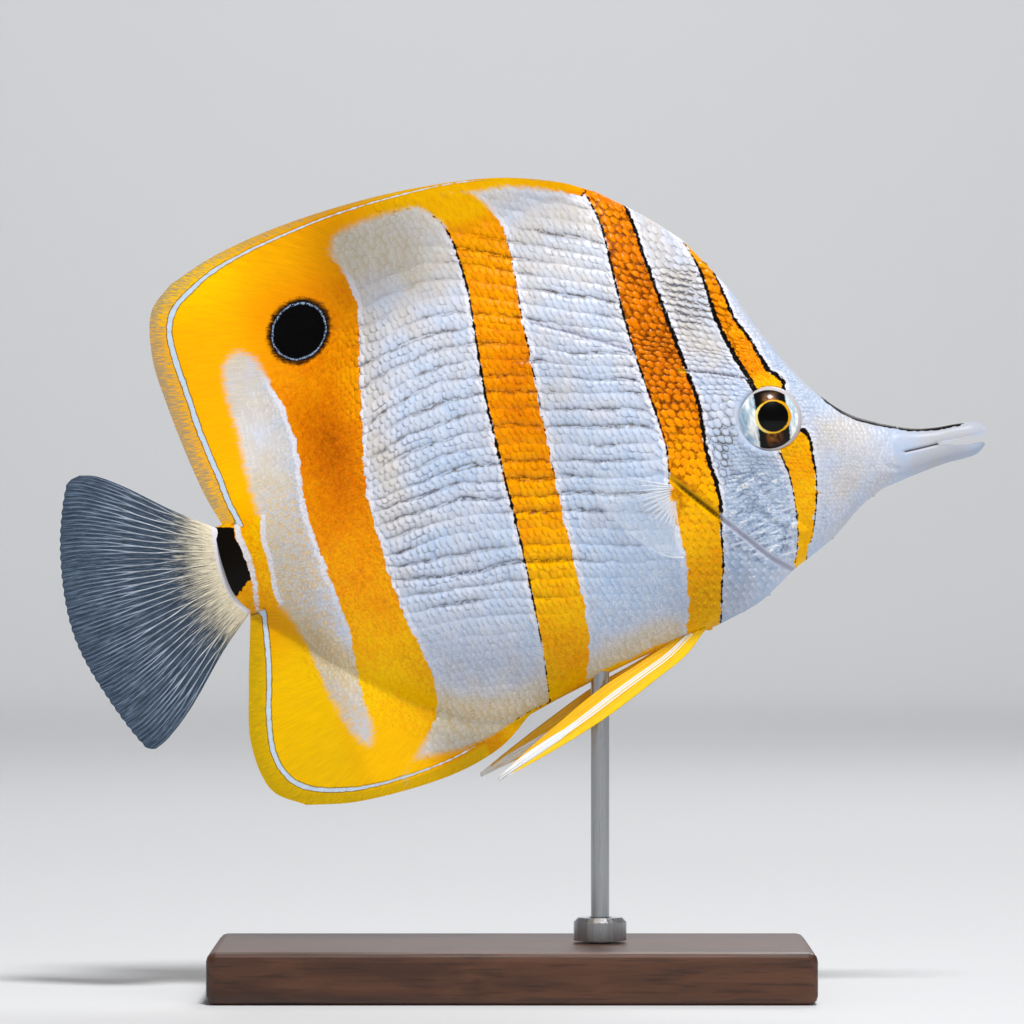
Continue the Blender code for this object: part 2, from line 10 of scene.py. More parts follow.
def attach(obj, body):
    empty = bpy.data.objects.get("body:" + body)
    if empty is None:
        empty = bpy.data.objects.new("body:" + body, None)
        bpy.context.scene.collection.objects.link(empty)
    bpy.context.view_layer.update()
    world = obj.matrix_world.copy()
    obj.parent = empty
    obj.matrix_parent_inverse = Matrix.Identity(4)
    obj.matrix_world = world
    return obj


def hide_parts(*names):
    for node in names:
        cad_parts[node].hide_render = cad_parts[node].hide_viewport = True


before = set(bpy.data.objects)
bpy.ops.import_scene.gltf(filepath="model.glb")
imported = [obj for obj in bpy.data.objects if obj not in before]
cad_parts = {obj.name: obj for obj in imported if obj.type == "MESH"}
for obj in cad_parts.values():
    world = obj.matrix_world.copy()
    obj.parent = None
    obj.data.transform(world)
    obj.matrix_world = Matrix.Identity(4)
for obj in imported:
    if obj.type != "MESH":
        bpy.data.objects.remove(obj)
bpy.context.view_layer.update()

# The fish is drawn in its own frame, in millimetres: back is the distance behind the snout tip, up is
# the height above a level line through the tip, and side is positive on the left flank. Numbers set beside
# back, up or a distance in the functions below are places and widths in this frame, measured in the photo.
MM = 0.001
NOSE_UP = math.radians(15.0)
SNOUT_TIP = Vector((82.2, 0.0, 97.0))
FISH_TO_WORLD = (Matrix.Translation(SNOUT_TIP * MM) @ Matrix.Rotation(-NOSE_UP, 4, "Y")
                 @ Matrix.Scale(MM, 4))
SIDES = {"right": -1.0, "left": 1.0}
rng = np.random.default_rng(7)

# Outline of body and fins in side view, as in the solids
SNOUT_ROOT_TOP = (17.0, 6.8)
SNOUT_ROOT_BOTTOM = (19.5, -4.2)
NAPE = (42.0, 46.5)
THROAT = (38.3, -13.9)
FIRST_SPINE = (54.0, 58.2)
VENT = (89.0, -26.3)
STEM_TOP = (133.5, 19.3)
STEM_BOTTOM = (131.2, 3.5)
SNOUT_TOP = [(-0.5, 1.6), (0.6, 2.6), (4.0, 3.3), (8.0, 3.7), (12.0, 4.6), SNOUT_ROOT_TOP]
SNOUT_BOTTOM = [(0.5, -1.5), (2.2, -2.6), (8.0, -2.8), (13.0, -3.3), SNOUT_ROOT_BOTTOM]
FOREHEAD = [SNOUT_ROOT_TOP, (22.0, 9.9), (26.0, 14.3), (30.0, 20.8), (33.0, 27.5), (36.0, 35.4), NAPE]
NAPE_LINE = [NAPE, (47.0, 51.9), FIRST_SPINE]
CHIN = [SNOUT_ROOT_BOTTOM, (24.0, -6.2), (30.0, -10.2), THROAT]
BELLY = [THROAT, (45.0, -17.6), (51.0, -19.2), (57.0, -20.3), (66.0, -21.4), (82.0, -24.6), VENT]
DORSAL_EDGE = [FIRST_SPINE, (60.0, 61.7), (70.0, 65.2), (82.0, 67.0), (95.0, 67.6), (110.0, 66.8),
               (122.0, 64.7), (130.0, 62.0)]
DORSAL_REAR = [(131.9, 19.1), (133.7, 25.6), (135.9, 42.0), (136.2, 51.0), (134.2, 58.5), (130.0, 62.0)]
ANAL_EDGE = [VENT, (94.0, -29.8), (100.0, -32.0), (108.0, -33.2), (122.0, -33.1), (130.5, -31.4)]
ANAL_REAR = [STEM_BOTTOM, (132.6, -1.3), (134.7, -8.5), (137.0, -18.8), (135.6, -27.4), (130.5, -31.4)]
BACK_LINE = [FIRST_SPINE, (64.0, 58.6), (76.0, 58.0), (90.0, 54.5), (104.0, 47.0), (116.0, 36.5),
             (128.0, 24.0), STEM_TOP]
ANAL_LINE = [VENT, (97.0, -25.0), (106.0, -20.5), (117.0, -11.5), (128.0, 0.5), STEM_BOTTOM]
TAIL_ROOT = [STEM_BOTTOM, (133.1, 7.4), (133.7, 13.0), STEM_TOP]
TAIL_TOP = [STEM_TOP, (140.0, 24.3), (147.0, 30.4), (151.2, 33.3), (153.8, 34.1)]
TAIL_BOTTOM = [STEM_BOTTOM, (137.0, -1.4), (146.0, -10.4), (151.0, -14.2), (153.2, -15.2)]
TAIL_REAR = [(153.2, -15.2), (154.5, -14.8), (155.5, -13.2), (158.4, -6.2), (161.5, 4.5), (161.9, 12.0),
             (160.2, 23.0), (157.2, 31.4), (155.9, 33.5), (153.8, 34.1)]
LIP_LOWER = [(0.5, -1.5), (0.5, -1.0), (4.0, -0.45), (8.4, 0.75)]
LIP_UPPER = [(8.4, 0.85), (4.0, 0.45), (0.2, 0.35), (-0.4, 0.7), (-0.5, 1.6)]

# Thickness of the fish, as (back, half width) and (back, height of the widest place)
HALF_WIDTHS = [(-0.5, 0.7), (2.0, 1.5), (8.0, 2.1), (14.0, 2.7), (20.0, 3.7), (26.0, 5.2), (32.0, 6.9),
               (38.0, 8.3), (46.0, 9.8), (56.0, 10.9), (66.0, 11.3), (78.0, 10.7), (94.0, 9.0),
               (108.0, 6.9), (120.0, 4.8), (128.0, 3.4), (134.0, 2.6)]
WIDEST_HEIGHTS = [(-0.5, 0.2), (16.0, 1.0), (26.0, 4.5), (36.0, 9.5), (50.0, 11.5), (70.0, 13.0),
                  (95.0, 13.5), (120.0, 12.0), (134.0, 11.4)]
FULLNESS_ABOVE = 0.72
FULLNESS_BELOW = 0.6
FULLNESS_SNOUT = 0.5
STEM_MIDDLE = 11.4
FINS_APART = 11.0  # the level between the dorsal fin and the anal fin
FIN_EDGE = 0.3
FIN_THICKENING = 0.045
BLEND_POWER = 3.0
COAT_DEPTH = 0.14  # how far the skin lies inside the solids, under its scales

EYE_CENTRE = (35.9, 12.5)
EYE_OFFSET = 6.9
EYE_RADIUS = 5.8
EYE_DEPTH = 3.2
ORBIT_RISE = 0.7
ORBIT_SPREAD = 8.0

# Markings in side view, as (back, up) keys
BAND_1_UPPER = [(44.6, 52.0), (42.0, 46.1), (40.5, 40.7), (40.2, 33.6), (39.4, 27.6), (38.2, 22.9),
                (37.2, 19.6), (36.4, 16.8), (32.4, 16.4), (31.7, 17.8), (32.1, 19.1), (33.3, 20.2),
                (34.2, 22.6), (35.2, 26.3), (36.9, 30.8), (37.7, 36.2), (38.5, 41.2), (40.6, 47.0)]
BAND_1_LOWER = [(36.3, 9.0), (35.6, 6.6), (34.9, 2.5), (35.1, -2.2), (36.0, -8.1), (37.8, -13.2),
                (39.0, -17.0), (37.0, -17.0), (35.2, -11.6), (33.4, -8.4), (32.2, -5.4), (30.7, -0.4),
                (30.1, 4.3), (30.4, 9.0)]
BAND_2_REAR = [(57.0, 64.0), (56.1, 58.2), (55.1, 53.0), (55.2, 46.0), (55.4, 39.0), (55.2, 28.0),
               (54.4, 18.0), (54.3, 11.5), (55.4, 6.4), (56.3, 3.0), (55.7, -3.6), (56.3, -9.5),
               (57.8, -15.8), (60.0, -24.0)]
BAND_2_FRONT = [(54.0, -24.0), (51.3, -14.1), (49.8, -9.3), (48.8, -4.0), (47.8, 0.0), (47.5, 3.9),
                (47.8, 8.0), (47.5, 13.0), (46.9, 17.8), (47.6, 26.0), (48.7, 37.9), (49.4, 46.0),
                (49.8, 53.0), (52.0, 62.0)]
BAND_3_REAR = [(88.0, 67.0), (85.0, 63.8), (82.3, 61.3), (81.0, 58.5), (80.4, 54.0), (80.3, 47.0),
               (81.2, 38.0), (82.2, 26.9), (82.5, 15.0), (82.7, 4.0), (83.4, -10.0), (84.3, -20.0),
               (85.6, -30.0)]
BAND_3_FRONT = [(79.0, -30.0), (77.6, -22.0), (75.6, -16.5), (74.9, -7.0), (74.5, 4.0), (74.0, 16.0),
                (73.2, 28.0), (72.5, 40.0), (71.6, 50.0), (71.6, 56.0), (73.0, 60.6), (75.5, 64.5)]
BAND_4_FRONT = [(112.5, -31.0), (107.0, -25.4), (104.0, -20.6), (103.3, -15.0), (104.8, -7.5),
                (106.0, 1.0), (106.3, 10.0), (106.1, 18.7), (103.6, 32.0), (101.3, 42.0), (99.6, 49.5),
                (99.8, 54.3), (101.6, 60.0)]
PALE_TOP = [(101.6, 60.0), (100.4, 62.6), (96.5, 63.7), (90.0, 64.2), (86.0, 64.0)]
REAR_PATCH = [(116.4, 36.0), (117.6, 41.0), (119.2, 45.8), (121.4, 47.6), (124.0, 46.7), (125.2, 43.6),
              (125.2, 34.0), (125.5, 26.0), (125.5, 21.0), (125.2, 18.6), (126.0, 16.0), (125.9, 11.3),
              (126.3, 5.5), (125.9, 3.2), (124.6, 0.6), (123.2, -4.0), (122.3, -10.0), (120.8, -17.0),
              (118.8, -22.6), (117.2, -24.2), (116.0, -20.6), (116.3, -13.8), (115.4, -7.0),
              (115.5, 0.0), (116.5, 8.0), (117.0, 14.0), (116.9, 21.0), (115.8, 29.0)]
STEM_WHITE = [(129.5, 18.6), (129.7, 16.4), (129.2, 14.3), (129.0, 12.0), (129.0, 9.7), (129.3, 7.2),
              (129.6, 5.0), (129.8, 3.5)]
STEM_BLACK = [(130.1, 18.5), (130.4, 16.5), (129.8, 14.6), (129.6, 12.1), (129.5, 9.6), (129.7, 8.3),
              (130.3, 8.9), (130.6, 8.0), (131.0, 8.6), (131.5, 7.2), (131.9, 7.9), (132.5, 6.6),
              (133.1, 6.9), (135.2, 6.4), (135.2, 19.9), (133.3, 19.3)]
DORSAL_LINE = [(60.0, 61.0), (72.0, 65.3), (80.0, 66.5), (97.7, 66.5), (108.0, 65.4), (116.5, 63.9),
               (121.7, 62.5), (126.7, 60.2), (130.6, 57.5), (132.2, 54.3), (132.5, 50.6), (132.0, 42.8),
               (131.5, 35.4), (130.3, 26.6), (129.9, 22.8), (128.8, 18.3)]
ANAL_SUBLINE = [(128.9, 2.9), (129.3, 0.6), (129.9, -3.2), (130.9, -8.0), (132.9, -15.2), (133.6, -21.6),
                (132.3, -25.9), (129.9, -28.3), (126.3, -29.8), (120.5, -31.0), (112.7, -31.1),
                (104.0, -30.2), (97.0, -28.4)]
ANAL_YELLOW = [(84.0, -25.0), (88.8, -25.7), (94.7, -27.6), (100.5, -28.8), (106.7, -28.6), (112.0, -28.0),
               (114.0, -36.0), (84.0, -36.0)]
DORSAL_RIM = [(80.0, 64.6), (75.4, 63.9), (71.2, 63.7), (67.8, 63.0), (64.0, 61.7), (59.9, 59.8),
              (56.9, 58.4), (52.0, 66.0)]
# Corners that lead a closed line round the fish, well outside it
ROUND_REAR = [(80.0, 80.0), (160.0, 80.0), (160.0, -45.0), (112.5, -45.0), (112.5, -31.0)]
ROUND_TAIL = [(133.4, 19.3), (170.0, 19.3), (170.0, 3.4), (129.0, 3.4)]
ROUND_FRONT = [(96.0, -60.0), (-20.0, -60.0), (-20.0, 90.0), (56.0, 90.0)]
BELLY_FOLD = [(59.0, -20.6), (66.0, -21.5), (74.0, -22.8), (81.0, -24.4)]
EYESPOT = (110.4, 48.4)
EYESPOT_RADII = (4.75, 5.45)
EYESPOT_LEAN = math.radians(50.0)

GILL_SLIT = [(56.2, 8.6), (54.8, 6.8), (51.6, 2.6), (48.4, -1.6), (44.7, -6.5), (41.6, -10.6), (38.3, -13.7)]
EYE_GROOVE = [(48.6, 24.6), (44.0, 23.0), (37.9, 20.4)]
MAXILLA_FOLD = [(14.4, 5.4), (16.6, 3.4), (18.7, 1.5), (18.4, -0.4), (16.5, -1.6)]
MOUTH_GROOVE = [(8.4, 0.8), (11.0, 0.85), (14.2, 0.95)]
FLANK_FOLD = [(71.5, 39.4), (66.5, 36.6), (61.5, 33.6), (56.0, 30.3)]
DORSAL_FAN = (56.0, 30.0)
ANAL_FAN = (81.0, -9.0)

# Rows of scales, by the slope of each row in front of and behind the crest, over its height at the crest
ROW_CREST = 86.0
ROW_TURN = 6.0
FRONT_SLOPES = ([-25.0, 0.0, 30.0, 46.0, 60.0], [0.20, 0.27, 0.30, 0.46, 0.5])
REAR_SLOPES = ([-25.0, 0.0, 12.0, 35.0, 60.0], [0.16, 0.09, -0.05, -0.30, -0.12])
ROW_PITCH = 1.5  # two rows between one long groove and the next
PLATE_PITCH = 1.15

# The fish is charted once on a net this fine, in mm, and every surface reads its markings from the chart
CHART_STEP = 0.4
CHART_LOW = (-3.0, -40.0)
CHART_HIGH = (168.0, 74.0)

# Camera and stage, from the photo: one pixel is this many millimetres at the fish
PIXEL = 160.0 / 921.0
CAMERA_DISTANCE = 1200.0
CAMERA_HEIGHT = 83.8
SENSOR = 36.0


def smooth_curve(keys, samples=240):
    """Evenly spaced points of the smooth curve that passes through the keys."""
    keys = np.array(keys, float)
    ends = np.vstack([2 * keys[0] - keys[1], keys, 2 * keys[-1] - keys[-2]])
    knots = np.concatenate([[0.0], np.cumsum(np.sqrt(np.linalg.norm(np.diff(ends, axis=0), axis=1)))])
    t = np.linspace(knots[1], knots[-2], samples * 4)
    span = np.clip(np.searchsorted(knots, t, side="right") - 1, 1, len(knots) - 3)
    k0, k1, k2, k3 = (knots[span + step][:, None] for step in (-1, 0, 1, 2))
    p0, p1, p2, p3 = (ends[span + step] for step in (-1, 0, 1, 2))
    t = t[:, None]
    a1 = ((k1 - t) * p0 + (t - k0) * p1) / (k1 - k0)
    a2 = ((k2 - t) * p1 + (t - k1) * p2) / (k2 - k1)
    a3 = ((k3 - t) * p2 + (t - k2) * p3) / (k3 - k2)
    b1 = ((k2 - t) * a1 + (t - k0) * a2) / (k2 - k0)
    b2 = ((k3 - t) * a2 + (t - k1) * a3) / (k3 - k1)
    points = ((k2 - t) * b1 + (t - k1) * b2) / (k2 - k1)
    return evenly(points, samples)


def evenly(points, samples=240):
    """The same line with its points evenly spaced."""
    along = np.concatenate([[0.0], np.cumsum(np.linalg.norm(np.diff(points, axis=0), axis=1))])
    wanted = np.linspace(0.0, along[-1], samples)
    return np.column_stack([np.interp(wanted, along, points[:, axis]) for axis in range(points.shape[1])])


def joined(*lines, samples=480):
    return evenly(np.vstack(lines), samples)


def line_between(start, end):
    return evenly(np.array([start, end], float))


def value_at(line, back):
    """The height of a line, or what it says, at a distance behind the snout tip."""
    return np.interp(back, line[:, 0], line[:, 1])


def smooth_step(value, low, high):
    """0 below low, 1 above high, eased between."""
    t = np.clip((value - low) / (high - low), 0.0, 1.0)
    return t * t * (3.0 - 2.0 * t)


def window(value, outer_low, low, high, outer_high):
    """1 from low to high, easing to 0 at the outer limits."""
    return smooth_step(value, outer_low, low) * smooth_step(value, outer_high, high)


def bell(distance, width):
    """1 at no distance, falling off over the width."""
    return np.exp(-((distance / width) ** 2))


def soft_patch(back, up, centre, reach, power=2):
    """1 in the middle of an oval and 0 outside it. With power 4 it stays near 1 for longer."""
    return np.exp(-(((back - centre[0]) / reach[0]) ** power + ((up - centre[1]) / reach[1]) ** power))


def sum_of_patches(back, up, patches):
    """Soft patches added up, each with its own share."""
    return sum(share * soft_patch(back, up, *patch) for share, *patch in patches)


def distance_from_eye(back, up):
    return np.hypot(back - EYE_CENTRE[0], up - EYE_CENTRE[1])


def in_batches(measure, points, line, batch=8000):
    parts = [measure(points[start:start + batch], line) for start in range(0, len(points), batch)]
    return np.concatenate(parts)


def ripple(x, y, cell, seed):
    """A soft random wave from -1 to 1 whose bumps are about one cell wide."""
    lattice = np.random.default_rng(seed).uniform(-1.0, 1.0, (61, 61))
    column, row = np.floor(x / cell).astype(int), np.floor(y / cell).astype(int)
    a, b = smooth_step(x / cell - column, 0.0, 1.0), smooth_step(y / cell - row, 0.0, 1.0)
    c0, c1, r0, r1 = column % 61, (column + 1) % 61, row % 61, (row + 1) % 61
    return ((1 - a) * (1 - b) * lattice[c0, r0] + a * (1 - b) * lattice[c1, r0]
            + (1 - a) * b * lattice[c0, r1] + a * b * lattice[c1, r1])


def distance_batch(points, line):
    steps = np.diff(line, axis=0)
    offsets = points[:, None, :] - line[None, :-1, :]
    along = np.clip((offsets * steps).sum(axis=2) / np.maximum((steps * steps).sum(axis=1), 1e-9), 0.0, 1.0)
    return np.linalg.norm(offsets - along[:, :, None] * steps[None, :, :], axis=2).min(axis=1)


def inside_batch(points, line):
    x, y = points[:, 0][:, None], points[:, 1][:, None]
    x0, y0 = line[:-1, 0], line[:-1, 1]
    x1, y1 = line[1:, 0], line[1:, 1]
    crosses = (y0 > y) != (y1 > y)
    reach = x0 + (y - y0) * (x1 - x0) / np.where(y1 == y0, 1e-9, y1 - y0)
    return ((crosses & (x < reach)).sum(axis=1) % 2) == 1


def line_distance(points, line):
    """Distance of each point from an open line."""
    return in_batches(distance_batch, points, line)


def region_depth(points, closed):
    """Distance inside a closed line, negative outside it."""
    depth = in_batches(distance_batch, points, closed)
    return np.where(in_batches(inside_batch, points, closed), depth, -depth)


def closed_curve(keys, samples=80):
    ring = smooth_curve(list(keys) + [keys[0]], samples)
    ring[-1] = ring[0]
    return ring


def closed_between(*edges):
    ring = np.vstack([smooth_curve(edge, 44) for edge in edges])
    return np.vstack([ring, ring[:1]])


SNOUT_TOP_LINE = smooth_curve(SNOUT_TOP)
SNOUT_BOTTOM_LINE = smooth_curve(SNOUT_BOTTOM)
HEAD_TOP_LINE = smooth_curve(FOREHEAD)
NAPE_TOP_LINE = smooth_curve(NAPE_LINE)
HEAD_BOTTOM_LINE = smooth_curve(CHIN)
BELLY_BOTTOM_LINE = smooth_curve(BELLY)
BACK = smooth_curve(BACK_LINE)
ANAL_BASE = smooth_curve(ANAL_LINE)
DORSAL_MARGIN = smooth_curve(DORSAL_EDGE)
ANAL_MARGIN = smooth_curve(ANAL_EDGE)
FLESH_TOP = joined(SNOUT_TOP_LINE, HEAD_TOP_LINE, NAPE_TOP_LINE, BACK)
FLESH_BOTTOM = joined(SNOUT_BOTTOM_LINE, HEAD_BOTTOM_LINE, BELLY_BOTTOM_LINE, ANAL_BASE)
HALF_WIDTH_LINE = smooth_curve(HALF_WIDTHS)
WIDEST_LINE = smooth_curve(WIDEST_HEIGHTS)
TOP_SIDE = joined(SNOUT_TOP_LINE, HEAD_TOP_LINE, NAPE_TOP_LINE, DORSAL_MARGIN, samples=700)
BOTTOM_SIDE = joined(SNOUT_BOTTOM_LINE, HEAD_BOTTOM_LINE, BELLY_BOTTOM_LINE, ANAL_MARGIN, samples=700)
REAR_SIDE = joined(smooth_curve(ANAL_REAR)[::-1], smooth_curve(TAIL_ROOT), smooth_curve(DORSAL_REAR),
                   samples=700)
FRONT_SIDE = joined(smooth_curve(LIP_LOWER), smooth_curve(LIP_UPPER), samples=300)
OUTLINE = np.vstack([joined(TOP_SIDE, REAR_SIDE[::-1], samples=260), evenly(BOTTOM_SIDE[::-1], 150),
                     evenly(FRONT_SIDE, 40)])
GAPE = smooth_curve(LIP_UPPER, 30)
GILL = smooth_curve(GILL_SLIT, 40)
GILL_UPWARD = GILL[GILL[:, 0].argsort()]


def body_half_width(points, edge_distance):
    """Half the thickness of the fish at points of its side view, as in the solids."""
    back, up = points.T
    top = value_at(FLESH_TOP, back)
    bottom = value_at(FLESH_BOTTOM, back)
    widest = value_at(WIDEST_LINE, back)
    above = up > widest
    reach = np.where(above, top - widest, widest - bottom)
    fraction = np.clip(np.abs(up - widest) / np.maximum(reach, 0.1), 0.0, 1.0)
    trunk_like = np.clip((back - 14.0) / 30.0, 0.0, 1.0)
    fullness = np.where(above, FULLNESS_ABOVE, FULLNESS_BELOW)
    fullness = FULLNESS_SNOUT + (fullness - FULLNESS_SNOUT) * trunk_like
    flesh = value_at(HALF_WIDTH_LINE, back) * (1.0 - fraction**2) ** fullness
    from_eye = distance_from_eye(back, up)
    flesh = flesh + ORBIT_RISE * np.exp(-((from_eye / ORBIT_SPREAD) ** 4))
    sheet = FIN_EDGE + FIN_THICKENING * edge_distance
    return (flesh**BLEND_POWER + sheet**BLEND_POWER) ** (1.0 / BLEND_POWER)


def height_of_row(back, row):
    """Height at which a row of scales passes, with the slow waver of its folds."""
    front = np.interp(row, *FRONT_SLOPES)
    rear = np.interp(row, *REAR_SLOPES)
    run = back - ROW_CREST
    bend = np.sqrt(run * run + ROW_TURN**2) - ROW_TURN
    smooth = row + 0.5 * (front + rear) * run + 0.5 * (rear - front) * bend
    behind = smooth_step(back, 80.0, 90.0)
    return smooth + (0.4 + 0.3 * behind) * ripple(back, row, 6.5, 3) + 0.2 * ripple(back, row, 2.2, 4)


def row_at(back, up):
    """The row that runs through a point: the inverse of height_of_row, by a few steps."""
    row = np.array(up, float)
    for _ in range(9):
        row = row - 0.8 * (height_of_row(back, row) - up)
    return row


def groove_strength(back, row):
    """How deep each long groove between pairs of rows is, from place to place."""
    index = np.round(row / (2.0 * ROW_PITCH))
    return np.clip(0.62 + 0.6 * ripple(back, 11.3 * index, 8.0, 31), 0.1, 1.0)


def fold_depth(points):
    """1 in the crease between every second pair of rows, on the flank only."""
    back, up = points.T
    row = row_at(back, up)
    phase = row / (2.0 * ROW_PITCH)
    crease = bell(np.abs(phase - np.round(phase)) * 2.0 * ROW_PITCH, 0.5) * groove_strength(back, row)
    flank = smooth_step(back, 55.0, 57.0) * (1.0 - smooth_step(back, 103.0, 106.0))
    body = smooth_step(value_at(FLESH_TOP, back) + 3.0 - up, 0.0, 5.0)
    low = smooth_step(up - value_at(FLESH_BOTTOM, back), 12.0, 23.0)
    return crease * flank * body * low


# Folds of head and flank: the line, how deep and wide the fold is in mm, and how dark and wide its shade is
FOLDS = [(smooth_curve(EYE_GROOVE, 20), 0.22, 0.35, 0.75, 0.2),
         (smooth_curve(MAXILLA_FOLD, 20), 0.14, 0.5, 0.15, 0.4),
         (smooth_curve(FLANK_FOLD, 20), 0.45, 0.5, 0.5, 0.28),
         (smooth_curve(MOUTH_GROOVE, 12), 0.3, 0.3, 0.8, 0.2)]
CHEEK_LINE = smooth_curve([(45.0, 20.0), (43.6, 8.0), (40.6, -2.0), (35.0, -8.0)], 30)
BAND_2 = closed_between(BAND_2_REAR, BAND_2_FRONT)
BAND_3 = closed_between(BAND_3_REAR, BAND_3_FRONT)
BAND_1_TOP = closed_curve(BAND_1_UPPER)
BAND_1_BOTTOM = closed_curve(BAND_1_LOWER)
REAR_WARM = np.vstack([smooth_curve(BAND_4_FRONT, 50), smooth_curve(PALE_TOP, 20), DORSAL_RIM, ROUND_REAR])
REAR_WHITE = closed_curve(REAR_PATCH, 120)
ANAL_SPINES_YELLOW = closed_between(ANAL_YELLOW[:6], ANAL_YELLOW[6:])
STEM_BLACK_RING = np.vstack([STEM_BLACK, STEM_BLACK[:1]])
DORSAL_LIGHT = smooth_curve(DORSAL_LINE, 90)
ANAL_LIGHT = smooth_curve(ANAL_SUBLINE, 70)
INNER_REGION = np.vstack([DORSAL_LIGHT, ROUND_TAIL, ANAL_LIGHT, ROUND_FRONT, DORSAL_LIGHT[:1]])
NO_INK = -0.5
# The black lines that edge the first three bands. For each band: how far back it may lie, where its
# middle is over the height, and half the width of the line along its rear and its front edge.
BAND_INK = [
    (43.5, ([-14.0, 9.0, 18.0, 48.0], [36.4, 33.2, 34.2, 41.2]),
     ([-14.0, -4.0, 4.0, 9.0, 16.0, 20.0, 30.0, 40.0, 48.0],
      [0.02, 0.08, 0.12, 0.14, 0.48, 0.48, 0.4, 0.22, 0.02]),
     ([-14.0, -6.0, 0.0, 5.0, 9.0, 16.0, 20.0, 26.0, 36.0, 48.0],
      [0.0, 0.1, 0.14, 0.24, 0.36, 0.38, 0.36, 0.3, 0.24, 0.0])),
    (65.0, ([-20.0, 0.0, 20.0, 58.0], [56.0, 52.0, 51.0, 54.0]),
     ([-20.0, -4.0, 4.0, 12.0, 22.0, 34.0, 50.0, 58.0], [-0.2, -0.12, 0.0, 0.12, 0.2, 0.22, 0.2, 0.12]),
     ([-20.0, -12.0, -5.0, -2.0, 4.0, 14.0, 30.0, 46.0, 58.0],
      [0.1, 0.16, 0.2, 0.34, 0.36, 0.34, 0.36, 0.32, 0.26])),
    (92.0, ([-26.0, 0.0, 30.0, 62.0], [81.0, 79.0, 77.2, 78.0]),
     ([-26.0, -10.0, 2.0, 14.0, 30.0, 50.0, 58.0, 62.0], [0.02, 0.08, 0.16, 0.2, 0.22, 0.18, 0.1, -0.1]),
     ([-26.0, 0.0, 10.0, 24.0, 38.0, 52.0, 60.0], [-0.3, -0.16, -0.04, 0.02, 0.06, -0.04, -0.2])),
]


def stroke(points, keys, widths):
    """Depth inside a stroke along a curve, whose half width changes from start to end."""
    line = smooth_curve(keys, 30)
    half = np.interp(np.linspace(0.0, 1.0, len(line)), np.linspace(0.0, 1.0, len(widths)), widths)
    depth = np.full(len(points), -9.0)
    low, high = line.min(axis=0) - 9.0, line.max(axis=0) + 9.0
    near = np.nonzero(((points > low) & (points < high)).all(axis=1))[0]
    gaps = np.linalg.norm(points[near][:, None, :] - line[None, :, :], axis=2)
    depth[near] = (half[None, :] - gaps).max(axis=1)
    return depth


def ink_half_width(back, up):
    """Half the width of the black line that edges each band, over the height."""
    widths = [np.where(back > np.interp(up, *middle), np.interp(up, *rear), np.interp(up, *front))
              for _, middle, rear, front in BAND_INK]
    widths[1] = np.where((back > 57.3) & (up > 50.0), NO_INK, widths[1])
    return np.select([back < limit for limit, *_ in BAND_INK], widths, NO_INK)


def light_half_width(back, up):
    """Half the width of the pale line that runs round the dorsal and anal fins."""
    over = np.interp(back, [68.0, 74.0, 90.0, 106.0, 118.0, 126.0, 131.0],
                     [-0.3, 0.05, 0.08, 0.12, 0.22, 0.34, 0.42])
    under = np.interp(back, [97.0, 101.0, 110.0, 120.0, 130.0], [-0.2, 0.05, 0.14, 0.24, 0.38])
    width = np.where(up > FINS_APART, over, under)
    above_stem = up - np.interp(back, [128.8, 133.4], [18.3, 19.3])
    below_stem = np.interp(back, [128.2, 131.2], [3.6, 3.4]) - up
    off_stem = np.where(up > FINS_APART, above_stem, below_stem)
    return width - smooth_step(off_stem, 0.5, 0.0) * smooth_step(back, 128.6, 129.4)


def dark_depth(points):
    """Depth inside the black bar of the tail stem and the dark top of the snout."""
    back, up = points.T
    bar = region_depth(points, STEM_BLACK_RING)
    from_top = value_at(FLESH_TOP, back) - up
    snout = np.interp(back, [1.0, 4.0, 8.0, 16.0, 21.0, 25.0, 28.0],
                      [-0.2, 0.3, 0.42, 0.46, 0.66, 0.5, -0.3])
    return np.maximum(bar, np.clip(snout - np.abs(from_top - 0.1), -2.0, 2.0))


def charted(points):
    """Every charted measure at points of the side view."""
    back, up = points.T
    bands = np.maximum.reduce([region_depth(points, ring)
                               for ring in (BAND_1_TOP, BAND_1_BOTTOM, BAND_2, BAND_3)])
    rear = np.minimum(region_depth(points, REAR_WARM), -region_depth(points, REAR_WHITE))
    rear = np.minimum(rear, -stroke(points, STEM_WHITE, [0.5, 0.58, 0.62, 0.54, 0.48, 0.5]))
    fold = stroke(points, BELLY_FOLD, [0.9, 0.9, 0.8, 0.3])
    warm = np.maximum.reduce([bands, rear, fold, region_depth(points, ANAL_SPINES_YELLOW)])
    return {"edge": region_depth(points, OUTLINE), "warm": warm, "ink": ink_half_width(back, up),
            "light": region_depth(points, INNER_REGION), "dark": dark_depth(points)}


def draw_chart():
    """Works the charted measures out on a regular net of points."""
    backs, ups = (np.arange(low, high, CHART_STEP) for low, high in zip(CHART_LOW, CHART_HIGH))
    net = np.stack(np.meshgrid(backs, ups, indexing="ij"), axis=-1)
    return {name: values.reshape(net.shape[:2]) for name, values in charted(net.reshape(-1, 2)).items()}


CHART = draw_chart()


def read_chart(name, points):
    """A charted measure between the points of the net."""
    values = CHART[name]
    place = (points - CHART_LOW) / CHART_STEP
    corner = np.clip(np.floor(place).astype(int), 0, np.array(values.shape) - 2)
    a, b = np.clip(place - corner, 0.0, 1.0).T
    column, row = corner.T
    return ((1 - a) * (1 - b) * values[column, row] + a * (1 - b) * values[column + 1, row]
            + (1 - a) * b * values[column, row + 1] + a * b * values[column + 1, row + 1])


